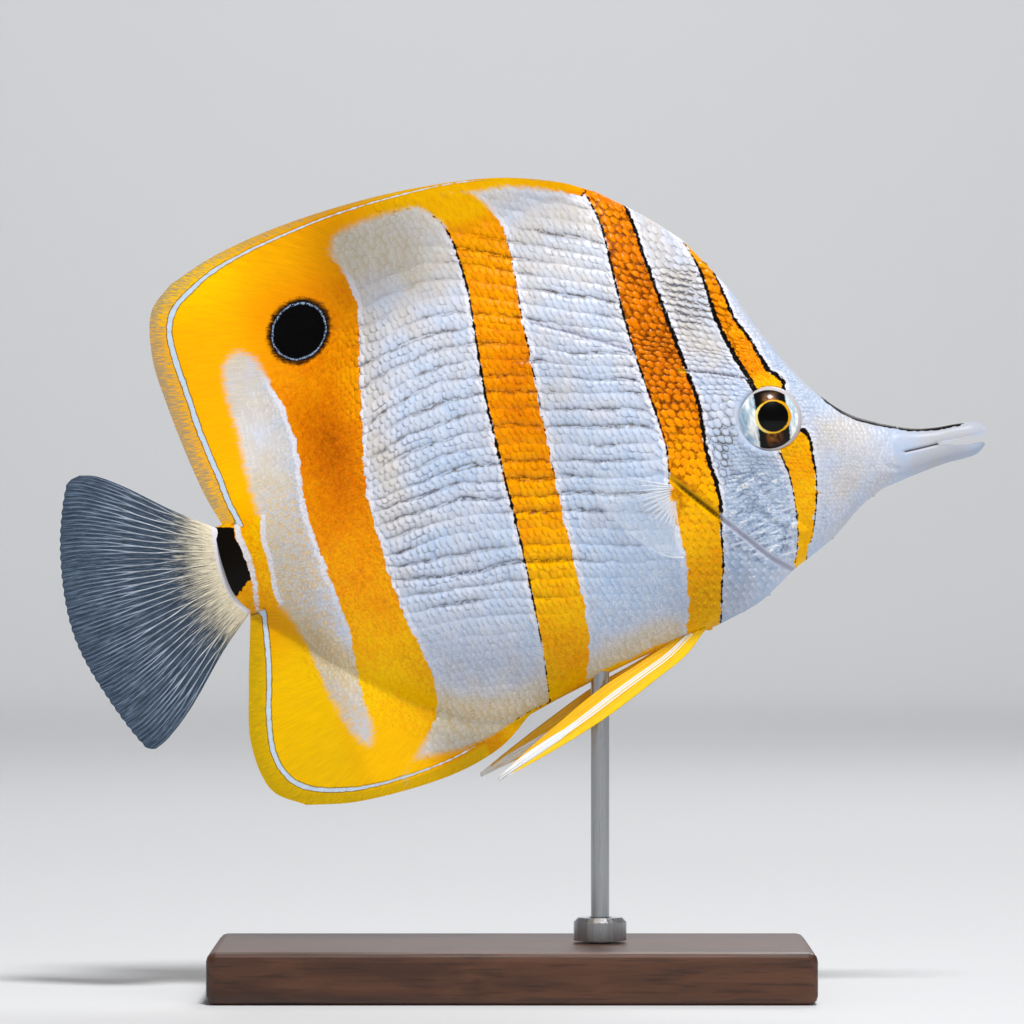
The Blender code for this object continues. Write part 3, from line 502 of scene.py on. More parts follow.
def place_in_spot(back, up):
    """0 in the middle of the leaning oval eye spot and 1 on its edge."""
    run, rise = back - EYESPOT[0], up - EYESPOT[1]
    short = run * math.cos(EYESPOT_LEAN) + rise * math.sin(EYESPOT_LEAN)
    long = rise * math.cos(EYESPOT_LEAN) - run * math.sin(EYESPOT_LEAN)
    return np.hypot(short / EYESPOT_RADII[0], long / EYESPOT_RADII[1])


def markings(points):
    """The sets of three smooth measures that the colours of skin and scales are made from."""
    back, up = points.T
    spot = (1.0 - place_in_spot(back, up)) * 5.0
    marks = (read_chart("warm", points), read_chart("ink", points), read_chart("light", points))
    looks = (spot, hue_of_warm(back, up), tint_of_silver(back, up))
    rays = fin_rays(points)
    edging = (light_half_width(back, up), read_chart("dark", points), crease_shade(points))
    return {"marks": marks, "looks": looks, "rays": rays, "edging": edging,
            "surface": surface_shares(back, up, rays[2])}


def slit_opening(back):
    """1 where the gill slit gapes, in front of the pectoral fin, and 0 where it is closed."""
    return window(back, 46.6, 49.4, 53.4, 55.4)


def crease_shade(points):
    """1 in the open gill slit and the folds of the head, under 0.5 along the closed part of the slit."""
    slit = line_distance(points, GILL)
    closed = 0.42 * smooth_step(points[:, 0], 55.8, 54.6)
    shade = np.maximum(slit_opening(points[:, 0]) * bell(slit, 0.42), closed * bell(slit, 0.62))
    for line, _, _, darkness, width in FOLDS:
        shade = np.maximum(shade, darkness * bell(line_distance(points, line), width))
    return shade


def relief_share(back, up):
    """How far the scales stand out: plainly on the flank, barely on the belly and the pale back."""
    low = smooth_step(up - value_at(FLESH_BOTTOM, back), 11.0, 23.0)
    pale = soft_patch(back, up, (94.0, 58.5), (11.0, 11.0), 4)
    top = smooth_step(value_at(FLESH_TOP, back) + 2.5 - up, 0.0, 7.0)
    top = np.where(back > 57.0, top, 1.0)
    lobe = soft_patch(back, up, (53.0, -2.0), (5.5, 8.0), 4)
    stem = smooth_step(back, 112.0, 100.0)
    snout = smooth_step(back, 15.0, 27.0)
    throat = window(back, 44.0, 48.0, 56.0, 59.0) * smooth_step(up, 20.0, 2.0)
    share = ((0.14 + 0.86 * low) * (1.0 - pale) * (1.0 - 0.85 * throat) * (0.08 + 0.92 * top)
             * (0.12 + 0.88 * stem))
    return share * (1.0 - 0.6 * lobe) * (0.15 + 0.85 * snout)


def surface_shares(back, up, fin):
    """Where fine curly lines, the white strips beside the bands and the shining cheek lie."""
    above_belly = up - value_at(FLESH_BOTTOM, back)
    low = smooth_step(above_belly, 22.0, 11.0) * smooth_step(back, 44.0, 54.0)
    pale = 0.6 * soft_patch(back, up, (93.0, 60.0), (13.0, 10.0), 4)
    rear = 0.9 * window(back, 102.0, 107.0, 118.0, 122.0)
    snout = 0.7 * window(back, 15.0, 20.0, 30.0, 36.0)
    on_stem = smooth_step(back, 121.0, 125.0) * smooth_step(np.abs(up - STEM_MIDDLE), 9.5, 8.5)
    strip = 0.25 + 0.75 * smooth_step(above_belly, 6.0, 22.0)
    strip = np.maximum(strip * smooth_step(above_belly, 0.5, 4.0), on_stem)
    cheek = np.hypot((back - 41.0) / 7.5, (up + 3.0) / 9.1)
    curly = np.maximum.reduce([low, pale, rear, snout]) * (1.0 - 0.9 * fin)
    return curly, strip, smooth_step(cheek, 1.3, 0.7)


def hue_of_warm(back, up):
    """0 is clear yellow, 0.5 orange, 1 deep copper."""
    upper_1 = 0.5 - 0.3 * bell(up - 18.5, 2.0) - 0.34 * smooth_step(up, 38.0, 48.0)
    band_1 = np.where(up > 10.0, upper_1, 0.22 - 0.1 * smooth_step(up, 6.0, -8.0))
    band_2 = np.interp(up, [-20.0, -6.0, 2.0, 9.0, 18.0, 30.0, 45.0, 56.0],
                       [0.1, 0.16, 0.2, 0.42, 0.66, 0.84, 0.8, 0.6])
    band_3 = np.interp(up, [-26.0, -12.0, 2.0, 14.0, 26.0, 40.0, 52.0, 60.0, 65.0],
                       [0.05, 0.12, 0.3, 0.44, 0.55, 0.5, 0.4, 0.3, 0.14])
    deep = 0.35 * soft_patch(back, up, (111.0, 27.0), (7.0, 15.0))
    glow = 0.06 * soft_patch(back, up, (109.0, 46.0), (9.0, 10.0))
    low_edge = 0.05 * bell(back - 131.0, 5.0) * smooth_step(up, 34.0, 22.0)
    band_4 = 0.36 + deep + glow - 0.22 * smooth_step(up, 6.0, -12.0)
    band_4 = band_4 - (0.05 + 0.15 * smooth_step(up, 32.0, 20.0)) * smooth_step(back, 116.0, 126.0)
    band_4 = band_4 - 0.17 * smooth_step(up, 52.0, 62.0) + low_edge
    hue = np.where(back < 45.0, band_1, np.where(back < 64.0, band_2, np.where(back < 94.0, band_3, band_4)))
    margin = window(back, 50.0, 53.0, 86.0, 100.0) * smooth_step(up, 57.6, 61.0)
    fold = smooth_step(back, 57.5, 60.0) * smooth_step(-17.0 - up, 0.0, 2.0) * smooth_step(back, 84.0, 80.0)
    return np.clip(hue * (1.0 - 0.85 * margin) + 0.1 * fold, 0.0, 1.0)


# Where the colour is deeper than around: by how much, then the middle, the reach and the power of the patch
DEEPER_PATCHES = [(0.2, (95.0, 57.0), (10.0, 9.0), 4),  # pale back
                  (0.13, (71.0, 24.0), (10.0, 17.0), 2),  # middle of the flank
                  (0.12, (111.0, 27.0), (7.0, 12.0), 2),  # last band
                  (0.07, (43.0, 34.0), (5.0, 15.0), 2),  # nape
                  (0.16, (41.0, 3.0), (6.5, 10.0), 2),  # cheek
                  (0.09, (27.0, 3.0), (8.0, 10.0), 2)]  # face


def tone_with_painted_shading(back, up):
    """How light the colour is from place to place: a little deeper on the pale back, with painted shade
    towards the belly and painted light along the keel.
    """
    body = window(back, 40.0, 50.0, 98.0, 112.0)
    above_belly = up - value_at(FLESH_BOTTOM, back)
    # Painted shade: the lower flank is darkened towards the belly, as if the light falls from above.
    low = smooth_step(above_belly, 22.0, 0.0) * body
    low = low * np.interp(back, [50.0, 56.0, 62.0, 72.0, 80.0, 88.0], [0.4, 0.4, 0.08, 0.08, 0.26, 0.4])
    low = low * (1.0 - 0.6 * bell(above_belly, 5.0))
    crown = smooth_step(up - value_at(FLESH_TOP, back), -13.0, 0.0) * smooth_step(back, 57.0, 60.0) * body
    snout = smooth_step(back, 22.0, 8.0)
    under = smooth_step(back, 99.0, 106.0) * smooth_step(up, 0.0, -10.0)
    over = smooth_step(back, 92.0, 104.0) * smooth_step(up, 28.0, 44.0)
    over = over * (1.0 - 0.9 * soft_patch(back, up, (110.0, 42.0), (7.0, 7.0), 4))
    # Painted light: the lowest strip of the body over the anal fin base is lightened against the shade that
    # falls on its underside.
    keel_painted_light = bell(above_belly - 2.0, np.where(above_belly > 2.0, 5.5, 2.6))
    keel_painted_light = keel_painted_light * np.interp(back, [84.0, 92.0, 100.0, 105.0, 115.0, 121.0], [0.0, 0.4, 0.4, 0.12, 0.12, 0.0])
    fin_white = window(back, 90.0, 96.0, 104.0, 108.0) * smooth_step(above_belly, 1.0, -4.0)
    stem = np.where(up > 20.0, smooth_step(back, 110.0, 124.0), smooth_step(back, 117.0, 121.0))
    stem = stem * (1.2 * smooth_step(up, 12.0, 30.0) - 0.5)
    tone_and_painted_shading = 1.0 - low - sum_of_patches(back, up, DEEPER_PATCHES) - 0.2 * crown - 0.2 * snout
    return tone_and_painted_shading + 0.28 * stem + 0.06 * under - 0.08 * over + keel_painted_light - 0.15 * fin_white


# Where the silver is cooler than around, or warmer for a share below 0
COOLER_PATCHES = [(0.32, (62.0, -4.0), (22.0, 16.0), 2),  # breast
                  (0.12, (95.0, 15.0), (10.0, 20.0), 2),  # flank
                  (-0.45, (92.0, 60.0), (12.0, 9.0), 2),  # pale back
                  (-0.3, (26.0, 3.0), (9.0, 9.0), 2),  # face
                  (-0.2, (44.5, 30.0), (4.5, 16.0), 4)]  # nape


def tint_of_silver(back, up):
    """0 is warm beige, 1 is cool blue-white."""
    tint = 0.62 - 0.3 * bell(back - 55.0, 60.0) * smooth_step(up, 20.0, 60.0)
    tint = tint + sum_of_patches(back, up, COOLER_PATCHES)
    tint = tint - 0.4 * smooth_step(back, 114.0, 120.0)
    tint = tint - 0.4 * bell(back - 102.0, 4.0) * smooth_step(up, 4.0, 12.0)
    tint = tint - 0.1 * smooth_step(back, 18.0, 6.0)
    tint = tint - 1.1 * bell(up - value_at(FLESH_BOTTOM, back) - 1.0, 4.0) * smooth_step(back, 57.0, 62.0)
    below_belly = value_at(FLESH_BOTTOM, back) - up
    tint = tint - 0.6 * window(back, 90.0, 96.0, 106.0, 110.0) * smooth_step(below_belly, -1.0, 4.0)
    return np.clip(tint, -0.6, 1.0)


def fin_rays(points):
    """Place across the rays and along them, in mm, and how far a point is into the rayed fins."""
    back, up = points.T
    dorsal_turn = np.arctan2(up - DORSAL_FAN[1], back - DORSAL_FAN[0])
    dorsal_reach = np.hypot(back - DORSAL_FAN[0], up - DORSAL_FAN[1])
    anal_turn = np.arctan2(up - ANAL_FAN[1], back - ANAL_FAN[0])
    anal_reach = np.hypot(back - ANAL_FAN[0], up - ANAL_FAN[1])
    spiny = smooth_step(back, 100.0, 88.0) * (up > 30.0)
    across_dorsal = (1.0 - spiny) * dorsal_turn * 68.0 + spiny * (0.7 * up - 0.71 * back)
    along_dorsal = (1.0 - spiny) * dorsal_reach + spiny * (0.71 * up + 0.7 * back)
    upper = up > FINS_APART
    across = np.where(upper, across_dorsal, anal_turn * 48.0)
    along = np.where(upper, along_dorsal, anal_reach)
    past_back = up - value_at(BACK, back)
    past_belly = value_at(ANAL_BASE, back) - up
    fin = np.where(upper, smooth_step(past_back, 2.0, 12.0), smooth_step(past_belly, 1.0, 9.0))
    fin = np.maximum(fin, 0.6 * spiny * smooth_step(past_back, -1.0, 3.0))
    fin = fin * smooth_step(back, 54.0, 62.0)
    fin = np.maximum(fin, smooth_step(back, 119.0, 127.0) * (np.abs(up - STEM_MIDDLE) > 8.0))
    return across, along, fin


def surface_relief(points, edge_distance):
    """Folds and ridges of the skin, in mm out from the smooth body."""
    back, up = points.T
    from_eye = distance_from_eye(back, up)
    rise = -2.6 * (1.0 - smooth_step(from_eye, 4.4, 5.6)) + 0.24 * bell(from_eye - 6.1, 0.7)
    slit = line_distance(points, GILL)
    ahead = value_at(GILL_UPWARD, back) < up
    step = 0.24 + 0.3 * slit_opening(back)
    rise = rise + np.where(ahead, step * bell(slit, 3.4), 0.16 * bell(slit - 1.1, 0.8))
    rise = rise - (0.14 + 0.4 * slit_opening(back)) * bell(slit, 0.5)
    for line, depth, width, _, _ in FOLDS:
        rise = rise - depth * bell(line_distance(points, line), width)
    cheek = line_distance(points, CHEEK_LINE)
    rise = rise + 0.16 * bell(cheek, 0.8) - 0.12 * bell(cheek - 1.5, 0.7)
    lobe = np.hypot((back - 55.6) / 2.2, (up - 3.4) / 3.2)
    rise = rise + 0.75 * np.exp(-(lobe**4))
    across, _, fin = fin_rays(points)
    outer = smooth_step(edge_distance, 7.0, 0.5) * fin
    rise = rise + 0.06 * fin * np.sin(across * 2.0 * math.pi / 1.9) * (0.4 + 0.6 * outer)
    rise = rise - 0.36 * fold_depth(points) + 0.05 * ripple(back, up, 3.0, 21)
    lips = line_distance(points, GAPE)
    return rise - 0.5 * bell(lips, 0.4) * smooth_step(back, 12.0, 9.0)


def four_sided(bottom, top, front, rear):
    """A patch of the side view between four lines, read at u along it and v up it."""

    def at(line, t):
        place = np.linspace(0.0, 1.0, len(line))
        return np.stack([np.interp(t, place, line[:, axis]) for axis in range(2)], axis=-1)

    def patch(u, v):
        u1, v1 = u[..., None], v[..., None]
        across = (1 - v1) * at(bottom, u) + v1 * at(top, u)
        upward = (1 - u1) * at(front, v) + u1 * at(rear, v)
        corners = ((1 - u1) * (1 - v1) * bottom[0] + u1 * (1 - v1) * bottom[-1]
                   + (1 - u1) * v1 * top[0] + u1 * v1 * top[-1])
        return across + upward - corners

    return patch


def unit_grid(columns, rows):
    """A flat grid whose u and v run from 0 to 1."""
    mesh = bmesh.new()
    bmesh.ops.create_grid(mesh, x_segments=columns, y_segments=rows, size=0.5)
    places = np.array([vert.co[:2] for vert in mesh.verts]) + 0.5
    return mesh, places[:, 0], places[:, 1]


def place_verts(mesh, points, side):
    for vert, (back, up), across in zip(mesh.verts, points, side):
        vert.co = (-back, across, up)


def set_measures(mesh, sets):
    """Stores each set of three measures on the points, under its own name."""
    for name, columns in sets.items():
        layer = mesh.verts.layers.float_vector.new(name)
        for vert, values in zip(mesh.verts, np.column_stack(columns)):
            vert[layer] = values


def mirror_half(mesh):
    """Closes a right half, open at the middle plane, with its mirror image."""
    rim = [item for item in mesh.edges if item.is_boundary]
    walls = bmesh.ops.extrude_edge_only(mesh, edges=rim)["geom"]
    for vert in walls:
        if isinstance(vert, bmesh.types.BMVert):
            vert.co.y = 0.0
    copied = bmesh.ops.duplicate(mesh, geom=mesh.verts[:] + mesh.edges[:] + mesh.faces[:])["geom"]
    faces = [item for item in copied if isinstance(item, bmesh.types.BMFace)]
    verts = [item for item in copied if isinstance(item, bmesh.types.BMVert)]
    bmesh.ops.scale(mesh, vec=(1.0, -1.0, 1.0), verts=verts)
    bmesh.ops.reverse_faces(mesh, faces=faces)
    bmesh.ops.remove_doubles(mesh, verts=[vert for vert in mesh.verts if vert.co.y == 0.0], dist=0.001)


def finish_piece(name, mesh, material, replaces=(), sharp=None):
    """Puts a mesh at its place in the world as a named piece that rides on the body."""
    bmesh.ops.transform(mesh, matrix=FISH_TO_WORLD, verts=mesh.verts)
    data = bpy.data.meshes.new(name)
    mesh.to_mesh(data)
    mesh.free()
    piece = bpy.data.objects.new(name, data)
    bpy.context.scene.collection.objects.link(piece)
    data.materials.append(material)
    data.shade_smooth()
    if sharp is not None:
        data.set_sharp_from_angle(angle=math.radians(sharp))
    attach(piece, "root")
    if replaces:
        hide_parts(*replaces)


def skin_patch():
    """The whole side view of the skin, snout to stem and belly to back."""
    return four_sided(BOTTOM_SIDE, TOP_SIDE, FRONT_SIDE, REAR_SIDE)


SKIN_COLUMNS = 290
SKIN_ROWS = 150
SKIN_FRONT_BIAS = 1.12
SKIN_EVEN_SHARE = 0.75

# On the bake map the skin's unwrap lies twice, the right flank below the left one
FLANK_LOW = {"right": 0.015, "left": 0.515}
FLANK_SPAN = (0.98, 0.47)
BAKE_MARGIN = 0.01


def bake_place(u, v, side_name):
    """The place on the bake map of a place on the skin's unwrap."""
    return BAKE_MARGIN + FLANK_SPAN[0] * u, FLANK_LOW[side_name] + FLANK_SPAN[1] * v


def make_skin(material):
    """One closed skin over head, trunk, tail stem and the middle fins."""
    mesh, u, v = unit_grid(SKIN_COLUMNS, SKIN_ROWS)
    u_bent = u**SKIN_FRONT_BIAS
    v_bent = SKIN_EVEN_SHARE * v + (1.0 - SKIN_EVEN_SHARE) * (0.5 - 0.5 * np.cos(np.pi * v))
    points = skin_patch()(u_bent, v_bent)
    edge = np.maximum(read_chart("edge", points), 0.0)
    widths = body_half_width(points, edge) - COAT_DEPTH
    widths = np.maximum(widths + surface_relief(points, edge) * smooth_step(edge, 0.0, 0.9), 0.2)
    place_verts(mesh, points, -widths)
    sets = markings(points)
    # Painted shade in the gaps between the scales, where the skin shows: darker in the orange of the collar
    # and none on the fins.
    collar = window(points[:, 0], 34.0, 38.0, 55.0, 57.0)
    collar = collar * smooth_step(sets["marks"][0], -0.4, 0.2)
    gaps = (0.24 + 0.36 * collar * smooth_step(points[:, 1], -6.0, 8.0)) * (1.0 - sets["rays"][2])
    sets["plates"] = (gaps * scaled_zone(points, edge), tone_with_painted_shading(*points.T), np.zeros_like(u))
    sets["unwrap"] = (u_bent, v_bent, np.zeros_like(u))
    set_measures(mesh, sets)
    bmesh.ops.reverse_faces(mesh, faces=mesh.faces)
    mirror_half(mesh)
    unwrap = mesh.verts.layers.float_vector["unwrap"]
    bake_map = mesh.loops.layers.uv.new("OFBake")
    for face in mesh.faces:
        side_name = "left" if face.calc_center_median().y > 0.0 else "right"
        for loop in face.loops:
            along_u, up_v, _ = loop.vert[unwrap]
            loop[bake_map].uv = bake_place(along_u, up_v, side_name)
    mesh.verts.layers.float_vector.remove(unwrap)
    replaced = ["head", "upper_jaw", "lower_jaw", "gill_cover_right", "gill_cover_left", "trunk",
                "tail_stem", "dorsal_fin_spiny", "dorsal_fin_soft", "anal_fin_spiny", "anal_fin_soft"]
    finish_piece("skin", mesh, material, replaced, sharp=60.0)


def scaled_zone(points, edge):
    """1 where the coat of scales covers the skin."""
    back, up = points.T
    from_eye = distance_from_eye(back, up)
    zone = smooth_step(back, 24.0, 30.0) * smooth_step(from_eye, 5.6, 6.4)
    fins = smooth_step(edge, 2.0, 5.0)
    return zone * np.where(back > 56.0, fins, smooth_step(edge, 0.4, 1.4))


def scale_grid(columns, rows, cells, keep):
    """Separate plates in rows: a grid cut along each cell's border, with each vert's cell and place."""
    mesh = bmesh.new()
    bmesh.ops.create_grid(mesh, x_segments=columns * cells, y_segments=rows * cells, size=0.5)
    size = np.array([columns * cells, rows * cells], float)

    def cell_of(face):
        middle = (np.array(face.calc_center_median()[:2]) + 0.5) * size / cells
        return int(middle[0]), int(middle[1])

    unwanted = [face for face in mesh.faces if not keep[cell_of(face)]]
    bmesh.ops.delete(mesh, geom=unwanted, context="FACES")
    borders = []
    for item in mesh.edges:
        first, second = ((np.array(vert.co[:2]) + 0.5) * size for vert in item.verts)
        level = np.round(0.5 * (first + second), 3)
        axis = 0 if abs(first[0] - second[0]) < 0.5 else 1
        if round(level[axis]) % cells == 0:
            borders.append(item)
    bmesh.ops.split_edges(mesh, edges=borders)
    cell_index = np.array([cell_of(vert.link_faces[0]) for vert in mesh.verts])
    local = (np.array([vert.co[:2] for vert in mesh.verts]) + 0.5) * size / cells - cell_index
    return mesh, cell_index, local


# Places, heights, painted shades and painted highlights of the verts along and across a plate of each
# shape. The plates of paired rows fall further on the side of the deep groove than towards their partner.
ALONG_STEPS = {"paired": [0.0, 0.25, 0.62, 0.93, 1.0], "pebble": [0.0, 0.2, 0.5, 0.82, 1.0],
               "small": [0.0, 0.45, 0.9, 1.0]}
ALONG_LIFT = {"paired": [0.0, 0.35, 0.8, 1.0, 0.0], "pebble": [0.0, 0.7, 1.0, 0.85, 0.0],
              "small": [0.2, 0.8, 1.0, 0.0]}
ALONG_SHADE = {"paired": [0.3, 0.0, 0.0, 0.3, 1.0], "pebble": [0.9, 0.15, 0.0, 0.25, 1.0],
               "small": [0.4, 0.0, 0.2, 0.9]}
ALONG_GLINT = {"paired": [0.0, 0.0, 0.5, 1.0, 0.2], "pebble": [0.0, 0.1, 0.6, 0.5, 0.0],
               "small": [0.0, 0.0, 1.0, 0.2]}
ACROSS_STEPS = {"paired": [0.0, 0.17, 0.5, 0.83, 1.0], "pebble": [0.0, 0.2, 0.5, 0.8, 1.0],
                "small": [0.0, 0.28, 0.72, 1.0]}
ACROSS_LIFT = {"paired": [0.0, 0.55, 0.9, 1.0, 0.72], "pebble": [0.1, 0.75, 1.0, 0.75, 0.1],
               "small": [0.2, 1.0, 1.0, 0.2]}
ACROSS_SHADE = {"paired": [1.0, 0.6, 0.05, 0.0, 0.34], "pebble": [1.0, 0.3, 0.0, 0.3, 1.0],
                "small": [0.9, 0.1, 0.1, 0.9]}
END_SHADE = {"paired": 0.12, "pebble": 0.8, "small": 0.75}
OVERLAP_ALONG = {"paired": 1.5, "pebble": 1.16, "small": 1.2}
OVERLAP_ACROSS = 1.1
STAGGER = 0.5
ROOT_PATCH = 0.003


def scale_coat(name, material, zone, shape, pitch, backs, rows_between, irregular, lift, outline_shade, roundness):
    """A coat of thin plates on each flank, laid in rows that follow the body, each over the next behind."""
    paired = shape == "paired"
    cells = len(ALONG_STEPS[shape]) - 1
    columns = int((backs[1] - backs[0]) / pitch[0])
    rows = int((rows_between[1] - rows_between[0]) / pitch[1])
    column, row = np.meshgrid(np.arange(columns), np.arange(rows), indexing="ij")
    jitter = rng.normal(0.0, irregular, (3, columns, rows))
    offset = STAGGER * (row % 2) + 0.35 * ripple(0.0 * row, row * 1.0, 3.0, 11)
    centre_row = rows_between[0] + (row + 0.5 + 0.5 * jitter[0]) * pitch[1]
    centre_back = backs[0] + (column + 0.5 + offset + jitter[1]) * pitch[0]
    centres = np.column_stack([centre_back.ravel(), height_of_row(centre_back, centre_row).ravel()])
    keep = (zone(centres) & (read_chart("edge", centres) > 0.5)).reshape(columns, rows)
    mesh, cell, local = scale_grid(columns, rows, cells, keep)
    at = (cell[:, 0], cell[:, 1])
    a, b = local[:, 0], local[:, 1]
    steps = np.linspace(0.0, 1.0, cells + 1)
    toward_groove = np.where(cell[:, 1] % 2 == 0, b, 1.0 - b) if paired else b
    place_a = np.interp(a, steps, ALONG_STEPS[shape])
    place_b = np.interp(b, steps, ACROSS_STEPS[shape])
    lift_b = np.interp(toward_groove, steps, ACROSS_LIFT[shape])
    shade_b = np.interp(toward_groove, steps, ACROSS_SHADE[shape])
    lift_a = np.interp(a, steps, ALONG_LIFT[shape])
    size = 1.0 + jitter[2][at]
    rounded = roundness * (2.0 * place_b - 1.0) ** 2 * np.clip(2.0 * place_a - 1.0, 0.0, 1.0)
    back = centre_back[at] + ((place_a - 0.5) * OVERLAP_ALONG[shape] - rounded) * pitch[0] * size
    taper = 1.0 - roundness * (2.0 * place_a - 1.0) ** 2 * (0.0 if paired else 0.7)
    up = height_of_row(back, centre_row[at] + (place_b - 0.5) * pitch[1] * OVERLAP_ACROSS * size * taper)
    points = np.column_stack([back, up])
    edge = np.maximum(read_chart("edge", points), 0.0)
    share = relief_share(back, up)
    skin_level = body_half_width(points, edge) - COAT_DEPTH + surface_relief(points, edge)
    beaded = window(back, 93.0, 99.0, 105.0, 107.0) * smooth_step(up, -8.0, 2.0)
    dome = 0.5 * np.minimum(lift_a, lift_b) + 0.5 * lift_a * lift_b
    height = (0.08 + 0.92 * share + 0.9 * share * beaded) * lift * dome
    dip = 0.02 + 0.03 * share
    height = np.where(np.isclose(a, 1.0), -dip, 0.4 * dip + 0.01 + height) * smooth_step(edge, 0.0, 1.0)
    place_verts(mesh, points, -(skin_level + height))
    # Painted shade: the rims of each plate and the long grooves between paired rows are darkened, with the
    # smudges behind the eye added through the same value; a painted highlight (glint) lightens each plate.
    groove = groove_strength(back, centre_row[at] + (place_b - 0.5) * pitch[1]) if paired else 1.0
    shade_a = np.interp(a, steps, ALONG_SHADE[shape]) * END_SHADE[shape]
    own_share = 1.0 if paired else rng.uniform(0.35, 1.0, (columns, rows))[at]
    ridged = soft_patch(back, up, (43.9, 36.6), (4.6, 6.6), 4)
    own_share = own_share + (2.4 - own_share) * ridged
    shade_a = shade_a * (1.0 - 0.85 * ridged)
    smoke = soft_patch(back, up, (45.0, 8.0), (2.4, 6.5))
    faint = 1.0 if paired else 0.5 + 0.5 * smooth_step(read_chart("warm", points), -0.4, 0.2)
    faint = np.maximum(faint, ridged)
    shade = outline_shade * faint * share * (1.0 + 5.0 * smoke) * np.maximum(shade_a, shade_b * groove * own_share)
    glint = np.interp(a, steps, ALONG_GLINT[shape])
    sets = markings(points)
    tone_and_painted_shading = tone_with_painted_shading(back, up) * (1.0 + share * rng.uniform(-0.06, 0.05, (columns, rows))[at])
    sets["plates"] = (shade, tone_and_painted_shading, glint)
    set_measures(mesh, sets)
    add_root_patches(mesh, centres.reshape(columns, rows, 2)[at], place_a, place_b)
    left = mesh.copy()
    bmesh.ops.scale(left, vec=(1.0, -1.0, 1.0), verts=left.verts)
    bake_map = left.loops.layers.uv["OFBake"]
    for face in left.faces:
        for loop in face.loops:
            loop[bake_map].uv.y += FLANK_LOW["left"] - FLANK_LOW["right"]
    bmesh.ops.reverse_faces(mesh, faces=mesh.faces)
    finish_piece(name + "_right", mesh, material)
    finish_piece(name + "_left", left, material)


def add_root_patches(mesh, roots, place_a, place_b):
    """Gives every plate a small patch of the bake map at its root's place on the skin's unwrap."""
    u, v = unwrap_of(roots)
    bake_map = mesh.loops.layers.uv.new("OFBake")
    places = np.column_stack(bake_place(u, v, "right"))
    places = places + (np.column_stack([place_a, place_b]) - 0.5) * ROOT_PATCH
    mesh.verts.index_update()
    for face in mesh.faces:
        for loop in face.loops:
            loop[bake_map].uv = places[loop.vert.index]


def unwrap_of(points):
    """The skin's u and v at points of its side view, by the nearest of a fine net of skin points."""
    net = np.linspace(0.0, 1.0, 101)
    u, v = (values.ravel() for values in np.meshgrid(net, net, indexing="ij"))
    skin_points = skin_patch()(u, v)
    unique, back_to = np.unique(np.round(points, 2), axis=0, return_inverse=True)
    nearest = np.empty(len(unique), int)
    for start in range(0, len(unique), 1000):
        gaps = ((unique[start:start + 1000, None, :] - skin_points[None, :, :]) ** 2).sum(axis=2)
        nearest[start:start + 1000] = gaps.argmin(axis=1)
    found = nearest[back_to.ravel()]
    return u[found], v[found]


def cheek_limit(up):
    """How far behind the snout tip the larger scales begin, at each height."""
    return np.interp(up, [-20.0, -13.0, -6.0, 0.0, 8.0, 20.0, 40.0, 60.0],
                     [40.0, 39.5, 45.0, 48.4, 43.6, 39.0, 36.5, 38.0])


def clear_of_folds(centres, gap):
    """True away from the gill slit, the eye and the fleshy lobe at the root of the pectoral fin."""
    back, up = centres.T
    lobe = np.hypot((back - 54.6) / 2.0, (up - 3.2) / 2.6)
    from_eye = distance_from_eye(back, up)
    return (line_distance(centres, GILL) > gap) & (lobe > 1.0) & (from_eye > 5.85)


def collar_zone(centres):
    back, up = centres.T
    return clear_of_folds(centres, 0.9) & (back > cheek_limit(up)) & (back <= 56.0)


def flank_zone(centres):
    back = centres[:, 0]
    pale = (back < 92.0) | (read_chart("warm", centres) < 0.1)
    on_flank = (back > 56.0) & (back < 107.5) & (read_chart("edge", centres) > 1.4)
    return clear_of_folds(centres, 0.9) & on_flank & pale


def rear_zone(centres):
    _, _, fin = fin_rays(centres)
    back, up = centres.T
    off_spot = place_in_spot(back, up) > 1.24
    behind = (back >= 92.0) & (read_chart("warm", centres) >= 0.1) | (back >= 107.5)
    return behind & (back < 128.4) & (fin < 0.7) & (read_chart("edge", centres) > 4.6) & off_spot


def head_zone(centres):
    back, up = centres.T
    return clear_of_folds(centres, 0.6) & (back > 16.0) & (back <= cheek_limit(up))


# Every coat: its zone, the shape of a plate, the pitch along and across, the limits from front to rear and
# from row to row, then how irregular the plates lie, how far they stand out, how dark the painted shade at
# their rims is and how round they are
COATS = {
    "flank_scales": (flank_zone, "paired", (PLATE_PITCH, ROW_PITCH), (54.0, 109.0),
                     (-54.0 * ROW_PITCH, 58.0 * ROW_PITCH), 0.13, 0.13, 1.0, 0.38),
    "collar_scales": (collar_zone, "pebble", (1.35, 1.5), (34.0, 58.0), (-34.0, 86.0), 0.13, 0.2, 0.85, 0.5),
    "rear_scales": (rear_zone, "small", (0.95, 0.95), (91.0, 130.0), (-34.0, 70.0), 0.16, 0.09, 0.45, 0.22),
    "head_scales": (head_zone, "small", (0.8, 0.78), (14.0, 50.0), (-24.0, 90.0), 0.18, 0.13, 0.4, 0.22),
}


def make_coat(material):
    """Every coat in turn, since each draws its random numbers from one row."""
    for name, settings in COATS.items():
        scale_coat(name, material, *settings)


